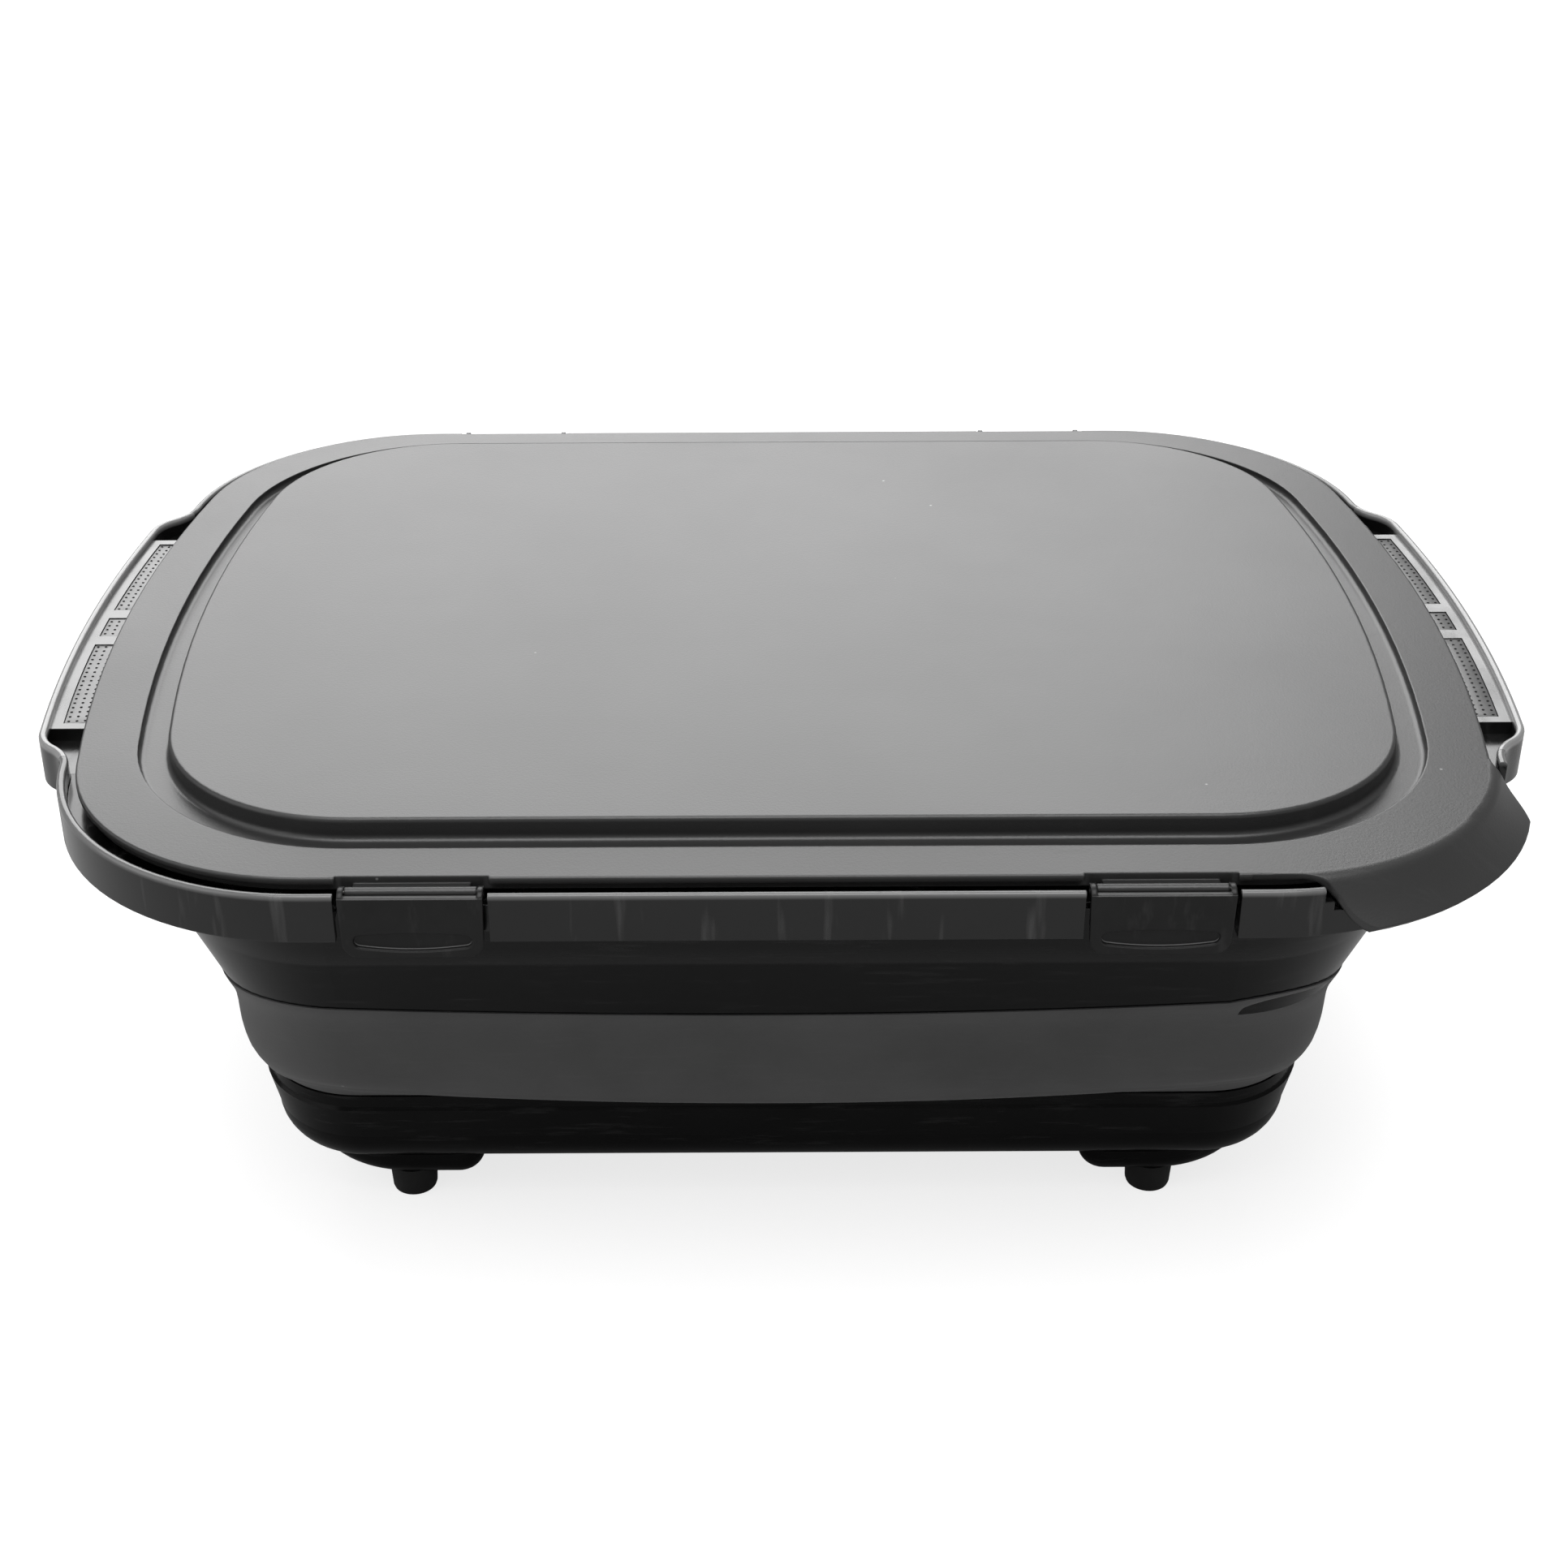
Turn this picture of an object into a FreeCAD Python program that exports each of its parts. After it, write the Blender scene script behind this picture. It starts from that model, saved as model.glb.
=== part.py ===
import FreeCAD, Part
import math
import os
import re
import Sketcher

# A collapsible food-prep tub with a cutting-board lid. Millimetres, +X along the long side, +Y to the rear,
# +Z up, with the origin on the surface that the feet stand on, under the middle of the tub.

SIZES = [
    ("lid_length", 490.6, "lid edge, left to right"),
    ("lid_width", 380.4, "lid edge, front to rear"),
    ("corner_radius", 88, "lid corner in plan"),
    ("end_radius", 720, "gentle bow of the lid's short ends"),
    ("lid_flange", 4.5, "thickness of the lid round the board"),
    ("lid_lip", 2.2, "thickness of the lid's outermost edge"),
    ("lid_undercut", 1.2, "step under the lid's edge"),
    ("lid_edge_round", 0.8, "rounding along the lid's edge"),
    ("flange_rise", 1.2, "slope of the lid from its edge up to the groove"),
    ("lid_proud", 2.5, "lid edge above the rim"),
    ("board_margin_end", 30.6, "lid edge to the raised board, at the ends"),
    ("board_margin_side", 26.6, "lid edge to the raised board, at the front and rear"),
    ("board_corner", 70, "board corner in plan"),
    ("board_end_radius", 700, "bow of the board's short ends"),
    ("board_rise", 5.6, "board above the lid's edge"),
    ("board_round", 1.4, "rounding along the board's top edge"),
    ("board_wall", 3.0, "thickness of the hollow board"),
    ("groove_width", 10.5, "juice groove round the board"),
    ("groove_depth", 2.0, "groove floor below the lid's edge"),
    ("groove_round", 2.0, "rounding at the foot of the groove"),
    ("plug_inset", 18, "lid edge to the plug wall that enters the tub"),
    ("plug_wall", 2.5, "thickness of the plug wall"),
    ("plug_depth", 9, "plug wall below the lid"),
    ("ledge_height", 1.5, "ledge that holds the gasket up"),
    ("ledge_reach", 1.2, "ledge beyond the plug wall"),
    ("rest_inset", 9, "lid edge to the rib that the lid rests on"),
    ("rest_wall", 2.5, "thickness of the rest rib"),
    ("gasket_height", 6, "gasket on the plug wall"),
    ("gasket_clearance", 0.5, "gasket to collar"),
    ("spout_reach", 14.5, "pouring corner beyond the lid's edge"),
    ("spout_drop", 14, "pouring corner below the lid's edge"),
    ("spout_wall", 1.9, "thickness of the pouring corner"),
    ("spout_roll", 5, "round bend from the lid into the pouring corner's slope"),
    ("spout_inset", 0.5, "lid edge to the start of the round bend"),
    ("spout_slope", 55, "degrees of the slope below the round bend"),
    ("spout_tip_slope", 40, "degrees of the slope at the lip"),
    ("spout_flare", 61, "hollow sweep of the slope down to the lip"),
    ("spout_root_front", 85.5, "degrees from the end, where the pour starts"),
    ("spout_tip_front", 68.5, "degrees from the end, full pour"),
    ("spout_tip_end", 21, "degrees from the end, full pour"),
    ("spout_root_end", 10, "degrees from the end, where the pour stops"),
    ("spout_neck_front", 20.5, "hollow bend into the pour, front"),
    ("spout_shoulder_front", 14, "round bend into the pour, front"),
    ("spout_neck_end", 10, "hollow bend into the pour, end"),
    ("spout_shoulder_end", 8.2, "round bend into the pour, end"),
    ("spout_gap_depth", 7.7, "gap in the rim's lip under the pouring corner"),
    ("spout_gap_step", 4.6, "depth of that gap where it starts"),
    ("spout_gap_inset", 0.6, "rim's skirt to the edges of that gap"),
    ("spout_gap_front", 80.5, "degrees from the end, where the gap starts"),
    ("spout_gap_deep", 78.6, "degrees from the end, where the gap gets its full depth"),
    ("spout_gap_end", 8, "degrees from the end, where the gap stops"),
    ("latch_margin", 34, "start of the lid's corner to the middle of a latch"),
    ("latch_width", 44.4, "latch flap at its hinge"),
    ("latch_taper", 0.6, "narrowing of the flap on each side"),
    ("latch_thick", 2.2, "latch flap"),
    ("latch_drop", 20.8, "hinge axis to the flap's lower edge"),
    ("latch_corner", 5, "rounded lower corners of the flap"),
    ("flap_rise", 0.5, "flap's upper edge above the hinge axis"),
    ("thumb_width", 37.2, "finger recess, left to right"),
    ("thumb_end", 4.2, "finger recess at its ends, top to bottom"),
    ("thumb_crown", 170, "bow of the recess's upper edge"),
    ("thumb_belly", 105, "bow of the recess's lower edge"),
    ("thumb_margin", 3.7, "flap's lower edge to the ends of the recess"),
    ("thumb_depth", 1.2, "finger recess, front to rear"),
    ("thumb_round", 0.5, "finger recess, rounded lip"),
    ("hinge_offset", 2.4, "hinge axis beyond the lid's edge"),
    ("hinge_drop", 3.6, "hinge axis below the lid's edge"),
    ("barrel_diameter", 3.6, "hinge barrel on the lid"),
    ("barrel_length", 40.4, "hinge barrel on the lid"),
    ("barrel_gap", 0.6, "barrel to flap"),
    ("ear_gap", 0.3, "barrel end to latch ear"),
    ("ear_radius", 2, "latch ear round the pin"),
    ("pin_diameter", 1.6, "hinge pin"),
    ("pin_clearance", 0.05, "pin to barrel bore, on the radius"),
    ("pin_inset", 0.5, "pin end inside the latch ear"),
    ("lug_length", 36, "web between the lid and the barrel"),
    ("lug_thick", 2.4, "web between the lid and the barrel"),
    ("lug_root", 4, "web inside the lid"),
    ("notch_length", 47.4, "notch in the lid's edge at a latch"),
    ("notch_depth", 1.2, "notch in the lid's edge at a latch"),
    ("snap_length", 32, "snap bead on the flap and catch on the rim"),
    ("snap_level", 15.9, "hinge axis to the middle of the snap bead"),
    ("snap_height", 3.6, "snap bead, top to bottom"),
    ("snap_flat", 1.2, "blunt nose of the snap bead"),
    ("snap_clearance", 0.6, "snap bead to rim catch"),
    ("catch_reach", 1.9, "rim catch out of the latch pocket"),
    ("catch_height", 3, "rim catch, top to bottom"),
    ("catch_step", 0.7, "rim catch above the snap bead"),
    ("rim_overhang", 6.5, "rim beyond the lid's edge"),
    ("rim_wall", 2.8, "thickness of the rim's skirt"),
    ("rim_round", 1.3, "rounding along the rim's lip"),
    ("skirt_height", 16.5, "rim's skirt, top to bottom"),
    ("web_drop", 7, "floor of the rim's channel below its lip"),
    ("tub_wall", 2.5, "thickness of the tub's walls"),
    ("collar_inset", 12, "lid edge to the upright collar"),
    ("collar_height", 12.5, "rim's lip to the foot of the upright collar"),
    ("slope_height", 64.7, "sloping wall under the collar"),
    ("pocket_length", 47.4, "latch pocket in the rim"),
    ("pocket_depth", 6, "latch pocket in the rim"),
    ("handle_reach", 9.5, "handle beyond the rim"),
    ("handle_length", 176, "straight run of a handle, front to rear"),
    ("handle_bend", 18, "bends between the handle and the rim"),
    ("shelf_drop", 2.3, "handle's shelf below the rim's lip"),
    ("shelf_wall", 2.5, "thickness of the handle's shelf"),
    ("shelf_margin", 6, "end of the handle's straight run to its shelf"),
    ("shelf_inset", 8, "lid edge to the shelf's inner end"),
    ("grip_depth", 1, "recess that a grip lies in"),
    ("grip_thick", 0.7, "grip inlay"),
    ("grip_clearance", 0.15, "grip inlay to its recess"),
    ("grip_inset", 5, "lid edge to a grip's inner end"),
    ("grip_margin", 4, "grip to the handle's lip"),
    ("grip_end_margin", 4, "end of the shelf to a long grip"),
    ("grip_long_start", 15, "middle of the handle to a long grip's near end"),
    ("grip_middle", 16, "middle grip, front to rear"),
    ("band_gap", 0.3, "soft band to the sloping wall"),
    ("band_inset", 39.4, "lid edge to the top of the soft band"),
    ("band_height", 41, "soft band"),
    ("band_taper", 10.4, "soft band's inward curve, top to bottom"),
    ("shoulder_drop", 8.5, "sloping shoulder along the top of the soft band"),
    ("shoulder_inset", 3, "sloping shoulder along the top of the soft band"),
    ("band_wall", 2.5, "thickness of the soft band"),
    ("base_height", 35, "bottom pan without its corner pads"),
    ("base_wall", 2.5, "thickness of the bottom pan"),
    ("base_draft", 3, "inward lean of the pan's wall"),
    ("base_round", 16, "pan's lower edge"),
    ("base_step", 0.6, "foot of the soft band to the pan's wall"),
    ("neck_height", 4.5, "recessed neck along the pan's top"),
    ("neck_depth", 1, "recessed neck along the pan's top"),
    ("pad_drop", 9.5, "corner pad below the pan"),
    ("pad_inset", 62, "lid edge to a corner pad"),
    ("pad_length", 67, "corner pad, left to right"),
    ("pad_width", 56.2, "corner pad, front to rear"),
    ("pad_sweep", 40, "corner pad's outermost upright edge"),
    ("pad_corner", 9, "corner pad's upright edges"),
    ("pad_round", 7, "corner pad's lower edge"),
    ("boss_diameter", 20, "solid part of the pad over a foot"),
    ("foot_inset_x", 40, "pad's outer end to the middle of a foot"),
    ("foot_inset_y", 12.2, "pad's outer side to the middle of a foot"),
    ("foot_top", 17.4, "diameter of a foot at the pad"),
    ("foot_bottom", 16.2, "diameter of a foot at the floor"),
    ("foot_height", 11.5, "foot under the pad"),
    ("foot_round", 1.5, "foot's lower edge"),
    ("stem_diameter", 7, "stem of a foot"),
    ("stem_length", 4, "stem of a foot"),
]

# Levels and centres that follow from the sizes.
LEVELS = [
    ("pad_level", "foot_height"),
    ("base_level", "pad_level + pad_drop"),
    ("band_foot", "base_level + base_height"),
    ("band_head", "band_foot + band_height"),
    ("slope_foot", "band_head + band_gap"),
    ("slope_head", "slope_foot + slope_height"),
    ("rim_top", "slope_head + collar_height"),
    ("skirt_foot", "rim_top - skirt_height"),
    ("web_top", "rim_top - web_drop"),
    ("web_foot", "web_top - tub_wall"),
    ("shelf_top", "rim_top - shelf_drop"),
    ("lid_top", "rim_top + lid_proud"),
    ("lid_under", "lid_top - lid_flange"),
    ("board_top", "lid_top + board_rise"),
    ("hinge_level", "lid_top - hinge_drop"),
    ("hinge_y", "lid_width / 2 + hinge_offset"),
    ("flap_inside", "barrel_diameter / 2 + barrel_gap"),
    ("flap_outside", "flap_inside + latch_thick"),
    ("pocket_wall", "rim_overhang - pocket_depth"),
    ("catch_face", "pocket_wall + catch_reach"),
    ("handle_face", "rim_overhang + handle_reach"),
    ("handle_inside", "handle_face - rim_wall"),
    ("plug_foot", "lid_under - plug_depth"),
    ("end_x", "lid_length / 2 - end_radius"),
    ("corner_y", "lid_width / 2 - corner_radius"),
    ("corner_x", "end_x + sqrt((end_radius - corner_radius)^2 - corner_y^2)"),
    ("latch_x", "corner_x - latch_margin"),
    ("board_length", "lid_length - 2 * board_margin_end"),
    ("board_width", "lid_width - 2 * board_margin_side"),
    ("board_end_x", "board_length / 2 - board_end_radius"),
    ("half_shelf", "handle_length / 2 - shelf_margin"),
    ("grip_long_end", "half_shelf - grip_end_margin"),
    ("handle_cut", "handle_length / 2 + handle_bend"),
    ("pad_radius", "corner_radius - pad_inset"),
    ("pad_far_x", "corner_x + pad_radius"),
    ("pad_far_y", "corner_y + pad_radius"),
    ("pad_start_x", "pad_far_x - pad_length"),
    ("pad_start_y", "pad_far_y - pad_width"),
    ("foot_x", "pad_far_x - foot_inset_x"),
    ("foot_y", "pad_far_y - foot_inset_y"),
    ("belly_height", "band_height - shoulder_drop"),
    ("belly_taper", "band_taper - shoulder_inset"),
    ("band_curve", "(belly_height^2 + belly_taper^2) / (2 * belly_taper)"),
    ("band_inner_foot", "sqrt((band_curve - band_wall)^2 - belly_height^2) - band_curve - shoulder_inset"),
    ("base_inset", "band_inset + band_taper + base_step"),
]

# An outline in plan is told by its half depth, its corner radius, and its bowed ends' radius and centre.
LID_OUTLINE = ("lid_width / 2", "corner_radius", "end_radius", "end_x")
BOARD_OUTLINE = ("board_width / 2", "board_corner", "board_end_radius", "board_end_x")

SIDES = {"front": -1, "rear": 1}
HANDS = {"left": -1, "right": 1}
LEFT_TURN = 1
RIGHT_TURN = -1
LOFT_OVERLAP = "0.5"
TOUCH = 1e-4

doc = FreeCAD.newDocument("food_prep_tub")
sheet = doc.addObject("Spreadsheet::Sheet", "Sizes")


def fill_sheet():
    """Write the sizes and the levels into the sheet, one alias a row."""
    for row, (alias, value, note) in enumerate(SIZES, start=1):
        sheet.set("A%d" % row, alias)
        sheet.set("B%d" % row, str(value))
        sheet.set("C%d" % row, note)
        sheet.setAlias("B%d" % row, alias)
    for row, (alias, formula) in enumerate(LEVELS, start=len(SIZES) + 1):
        sheet.set("A%d" % row, alias)
        sheet.set("B%d" % row, "=" + formula)
        sheet.setAlias("B%d" % row, alias)
    doc.recompute()


def bound(text):
    """The expression with every size's name led back to the sheet."""
    return re.sub(r"\b[a-z][a-z_]+\b(?!\()", lambda word: "Sizes." + word.group(0), text)


def value(text):
    """The number that an expression of sizes gives."""
    return float(sheet.evalExpression(bound(text)))


def new_body(label):
    body = doc.addObject("PartDesign::Body", label)
    body.Label = label
    return body


def new_sketch(body, name, role, shift):
    """A sketch on one of the body's own origin planes, shifted along the plane's axes and its normal."""
    sketch = body.newObject("Sketcher::SketchObject", name)
    plane = [item for item in body.Origin.OriginFeatures if item.Role == role][0]
    sketch.AttachmentSupport = [(plane, "")]
    sketch.MapMode = "FlatFace"
    for axis, text in zip("xyz", shift):
        if text != "0":
            sketch.setExpression("AttachmentOffset.Base." + axis, bound(text))
    return sketch


def bind(sketch, constraint, text):
    """Add a constraint that holds a size and bind it to the sheet."""
    index = sketch.addConstraint(constraint)
    sketch.setExpression("Constraints[%d]" % index, bound(text))


def locate(sketch, edge, end, x_text, y_text):
    """Hold one end of an edge at a place told by two expressions."""
    for kind, axis, text in (("DistanceX", -2, x_text), ("DistanceY", -1, y_text)):
        if text == "0":
            sketch.addConstraint(Sketcher.Constraint("PointOnObject", edge, end, axis))
        else:
            bind(sketch, Sketcher.Constraint(kind, edge, end, value(text)), text)


def short_arc(start, stop, radius, turn):
    """The shorter arc between two points that turns left or right."""
    chord = stop - start
    rise = math.sqrt(max(radius ** 2 - chord.Length ** 2 / 4, 0))
    normal = FreeCAD.Vector(-chord.y, chord.x, 0).normalize()
    centre = (start + stop) / 2 + normal * rise * turn
    first, last = (start, stop) if turn == LEFT_TURN else (stop, start)
    circle = Part.Circle(centre, FreeCAD.Vector(0, 0, 1), radius)
    angles = [math.atan2(point.y - centre.y, point.x - centre.x) for point in (first, last)]
    return Part.ArcOfCircle(circle, *angles)


def path_sketch(body, name, role, loops, shift=("0", "0", "0")):
    """Closed loops of corners (x, y), or (x, y, radius, turn) where the edge to the next corner is an arc."""
    sketch = new_sketch(body, name, role, shift)
    for loop in loops:
        base = sketch.GeometryCount
        points = [FreeCAD.Vector(value(corner[0]), value(corner[1]), 0) for corner in loop]
        ends = []
        for index, corner in enumerate(loop):
            start, stop = points[index], points[(index + 1) % len(loop)]
            if len(corner) == 2:
                sketch.addGeometry(Part.LineSegment(start, stop))
                ends.append((1, 2))
            else:
                sketch.addGeometry(short_arc(start, stop, value(corner[2]), corner[3]))
                ends.append((1, 2) if corner[3] == LEFT_TURN else (2, 1))
        for index, corner in enumerate(loop):
            follower = (index + 1) % len(loop)
            joint = (base + index, ends[index][1], base + follower, ends[follower][0])
            sketch.addConstraint(Sketcher.Constraint("Coincident", *joint))
            locate(sketch, base + index, ends[index][0], corner[0], corner[1])
            if len(corner) == 4:
                bind(sketch, Sketcher.Constraint("Radius", base + index, value(corner[2])), corner[2])
    doc.recompute()
    return sketch


def circle_sketch(body, name, role, circles, shift=("0", "0", "0")):
    """Full circles told by (x, y, radius)."""
    sketch = new_sketch(body, name, role, shift)
    for index, (x_text, y_text, radius) in enumerate(circles):
        centre = FreeCAD.Vector(value(x_text), value(y_text), 0)
        sketch.addGeometry(Part.Circle(centre, FreeCAD.Vector(0, 0, 1), value(radius)))
        locate(sketch, index, 3, x_text, y_text)
        bind(sketch, Sketcher.Constraint("Radius", index, value(radius)), radius)
    doc.recompute()
    return sketch


def plan_arc(x, y, radius, start, stop):
    """An arc in plan, with its angles in radians."""
    circle = Part.Circle(FreeCAD.Vector(x, y, 0), FreeCAD.Vector(0, 0, 1), radius)
    return Part.ArcOfCircle(circle, start, stop)


def plain_end(corner, end, lean):
    """The edges of the right-hand end without a handle, from the front corner to the rear one."""
    (x, y), radius = corner
    return [
        (plan_arc(x, -y, radius, -math.pi / 2, -lean), "corner"),
        (plan_arc(end[0], 0, end[1], -lean, lean), "end"),
        (plan_arc(x, y, radius, lean, math.pi / 2), "corner"),
    ]


def handle_end(corner, end, outset):
    """The edges of the right-hand end with a handle, from the front corner to the rear one.

    Out of each corner a hollow bend and a round bend lead to the handle's face, which bows as the end does.
    """
    (x, y), radius = corner
    face = end[1] + value("handle_reach")
    round_bend = value("handle_bend") + outset
    hollow_bend = value("handle_bend") - outset
    face_lean = math.asin(value("handle_length / 2 / (end_radius + rim_overhang + handle_reach)"))
    near = face - round_bend
    near_x, near_y = end[0] + near * math.cos(face_lean), near * math.sin(face_lean)
    # The hollow bend touches both the corner and the round bend, which gives its centre.
    from_corner, from_round = radius + hollow_bend, round_bend + hollow_bend
    apart = math.hypot(near_x - x, near_y - y)
    along = (from_corner ** 2 - from_round ** 2 + apart ** 2) / (2 * apart)
    aside = math.sqrt(from_corner ** 2 - along ** 2)
    way_x, way_y = (near_x - x) / apart, (near_y - y) / apart
    far_x, far_y = x + along * way_x - aside * way_y, y + along * way_y + aside * way_x
    touch = math.atan2(far_y - y, far_x - x)
    swing = math.atan2(far_y - near_y, far_x - near_x)
    quarter, half = math.pi / 2, math.pi
    return [
        (plan_arc(x, -y, radius, -quarter, -touch), "corner"),
        (plan_arc(far_x, -far_y, hollow_bend, half - swing, half - touch), "hollow"),
        (plan_arc(near_x, -near_y, round_bend, -swing, -face_lean), "round"),
        (plan_arc(end[0], 0, face, -face_lean, face_lean), "face"),
        (plan_arc(near_x, near_y, round_bend, face_lean, swing), "round"),
        (plan_arc(far_x, far_y, hollow_bend, touch - half, swing - half), "hollow"),
        (plan_arc(x, y, radius, touch, quarter), "corner"),
    ]


def turned(arc):
    """The same arc after half a turn about the middle of the tub."""
    start, stop = arc.FirstParameter + math.pi, arc.LastParameter + math.pi
    return plan_arc(-arc.Center.x, -arc.Center.y, arc.Radius, start, stop)


def outline_sketch(body, name, family, outset, level, with_handle=False):
    """A closed outline in plan, parallel to its family's own at a distance, from the middle of the front.

    Straight long sides, round corners and bowed ends, all tangent, with two handles where they are asked for.
    """
    depth_text, corner_text, end_text, centre_text = family
    depth = value("%s + %s" % (depth_text, outset))
    corner = value("%s + %s" % (corner_text, outset))
    end = value("%s + %s" % (end_text, outset))
    end_x = value(centre_text)
    corner_y = depth - corner
    corner_x = end_x + math.sqrt((end - corner) ** 2 - corner_y ** 2)
    round_corner, bowed_end = ((corner_x, corner_y), corner), (end_x, end)
    if with_handle:
        half = handle_end(round_corner, bowed_end, value(outset + " - rim_overhang"))
    else:
        half = plain_end(round_corner, bowed_end, math.asin(corner_y / (end - corner)))
    middle = FreeCAD.Vector(0, -depth, 0)
    front_left, front_right = FreeCAD.Vector(-corner_x, -depth, 0), FreeCAD.Vector(corner_x, -depth, 0)
    rear_left, rear_right = FreeCAD.Vector(-corner_x, depth, 0), FreeCAD.Vector(corner_x, depth, 0)
    edges = [(Part.LineSegment(middle, front_right), "side")] + half
    edges += [(Part.LineSegment(rear_right, rear_left), "side")]
    edges += [(turned(arc), kind) for arc, kind in half]
    edges += [(Part.LineSegment(front_left, middle), "side")]

    sketch = new_sketch(body, name, "XY_Plane", ("0", "0", level))
    for edge, kind in edges:
        sketch.addGeometry(edge)
    # A hollow bend runs the other way round, so its ends are swapped.
    ends = [(2, 1) if kind == "hollow" else (1, 2) for edge, kind in edges]
    last = len(edges) - 1
    for index in range(last):
        joint = (index, ends[index][1], index + 1, ends[index + 1][0])
        sketch.addConstraint(Sketcher.Constraint("Tangent", *joint))
    sketch.addConstraint(Sketcher.Constraint("Coincident", last, 2, 0, 1))
    sketch.addConstraint(Sketcher.Constraint("PointOnObject", 0, 1, -2))
    radii = {
        "corner": "%s + %s" % (corner_text, outset),
        "end": "%s + %s" % (end_text, outset),
        "face": "%s + %s + handle_reach" % (end_text, outset),
        "round": "handle_bend + %s - rim_overhang" % outset,
        "hollow": "handle_bend - %s + rim_overhang" % outset,
    }
    half_turn = len(edges) // 2
    for index, (edge, kind) in enumerate(edges):
        if kind == "side":
            sketch.addConstraint(Sketcher.Constraint("Horizontal", index))
            continue
        bind(sketch, Sketcher.Constraint("Radius", index, value(radii[kind])), radii[kind])
        if kind in ("end", "face"):
            centre = centre_text if index < half_turn else "-(%s)" % centre_text
            locate(sketch, index, 3, centre, "0")
        hand = 1 if index < half_turn else -1
        if kind == "corner" and with_handle:
            place = "%d * corner_x" % hand
            bind(sketch, Sketcher.Constraint("DistanceX", index, 3, value(place)), place)
        if kind == "face":
            own_radius = "end_radius + rim_overhang + handle_reach"
            half_face = "handle_length / 2 * (%s) / (%s)" % (radii["face"], own_radius)
            for end, sign in ((1, -hand), (2, hand)):
                place = "%d * %s" % (sign, half_face)
                bind(sketch, Sketcher.Constraint("DistanceY", index, end, value(place)), place)
    depth_bound = "%s + %s" % (depth_text, outset)
    bind(sketch, Sketcher.Constraint("DistanceY", 0, 1, -depth), "-(%s)" % depth_bound)
    bind(sketch, Sketcher.Constraint("DistanceY", half_turn, 1, depth), depth_bound)
    doc.recompute()
    return sketch


def pad(body, sketch, length, midplane=False):
    feature = body.newObject("PartDesign::Pad", sketch.Name + "_pad")
    feature.Profile = sketch
    feature.Midplane = midplane
    feature.setExpression("Length", bound(length))
    doc.recompute()
    return feature


def pocket(body, sketch, length, upward=False, midplane=False):
    """Cut a sketch out of the body, downward along the sketch's normal unless told otherwise."""
    before = body.Shape.Volume
    feature = body.newObject("PartDesign::Pocket", sketch.Name + "_pocket")
    feature.Profile = sketch
    feature.Reversed = upward
    feature.Midplane = midplane
    feature.setExpression("Length", bound(length))
    doc.recompute()
    if not body.Shape.Volume < before:
        raise RuntimeError("%s cuts nothing" % feature.Name)
    return feature


def sweep(body, spine, profile, kind="Additive"):
    feature = body.newObject("PartDesign::%sPipe" % kind, profile.Name + "_sweep")
    feature.Profile = profile
    feature.Spine = spine
    doc.recompute()
    return feature


def fillet(body, name, radius, chosen):
    """Round the edges of the body that a test picks."""
    base = body.Tip
    feature = body.newObject("PartDesign::Fillet", name)
    names = ["Edge%d" % (index + 1) for index, edge in enumerate(base.Shape.Edges) if chosen(edge)]
    feature.Base = (base, names)
    feature.setExpression("Radius", bound(radius))
    doc.recompute()
    return feature


def at_level(edge, level):
    """Whether a whole edge lies at one level."""
    box = edge.BoundBox
    return abs(box.ZMin - level) < TOUCH and abs(box.ZMax - level) < TOUCH


def ring_profile(body, name, corners):
    """A section of a ring at the middle of the front, in (distance beyond the lid's edge, level)."""
    placed = [("lid_width / 2 + %s" % corner[0],) + tuple(corner[1:]) for corner in corners]
    return path_sketch(body, name, "YZ_Plane", [flipped(placed)])


def flipped(loop):
    """The mirror image of a loop, left for right."""
    mirrored = []
    for corner in loop:
        image = ("-(%s)" % corner[0], corner[1])
        if len(corner) == 4:
            image += (corner[2], -corner[3])
        mirrored.append(image)
    return mirrored


def both_ends(loop):
    return [loop, flipped(loop)]


def rectangle(x_low, x_high, y_low, y_high):
    return [(x_low, y_low), (x_high, y_low), (x_high, y_high), (x_low, y_high)]


def at_latches(half_length, near, far):
    """A rectangle at each latch, between two distances from the middle of the tub."""
    loops = []
    for hand in HANDS.values():
        low = "%d * latch_x - %s" % (hand, half_length)
        high = "%d * latch_x + %s" % (hand, half_length)
        loops.append(rectangle(low, high, "-(%s)" % far, "-(%s)" % near))
        loops.append(rectangle(low, high, near, far))
    return loops


def end_sector(inner, outer, y_low, y_high):
    """A field on the right-hand end, between two outlines parallel to the lid's and two straight edges."""
    def on_end(outset, y):
        return "end_x + sqrt((end_radius + %s)^2 - (%s)^2)" % (outset, y)

    return [
        (on_end(inner, y_low), y_low),
        (on_end(outer, y_low), y_low, "end_radius + %s" % outer, LEFT_TURN),
        (on_end(outer, y_high), y_high),
        (on_end(inner, y_high), y_high, "end_radius + %s" % inner, RIGHT_TURN),
    ]


def polar(radius, degrees):
    """A place round the pouring corner's own centre, with the angle counted down from the end."""
    return "(%s) * cos((%s) * 1deg)" % (radius, degrees), "-(%s) * sin((%s) * 1deg)" % (radius, degrees)


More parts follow.
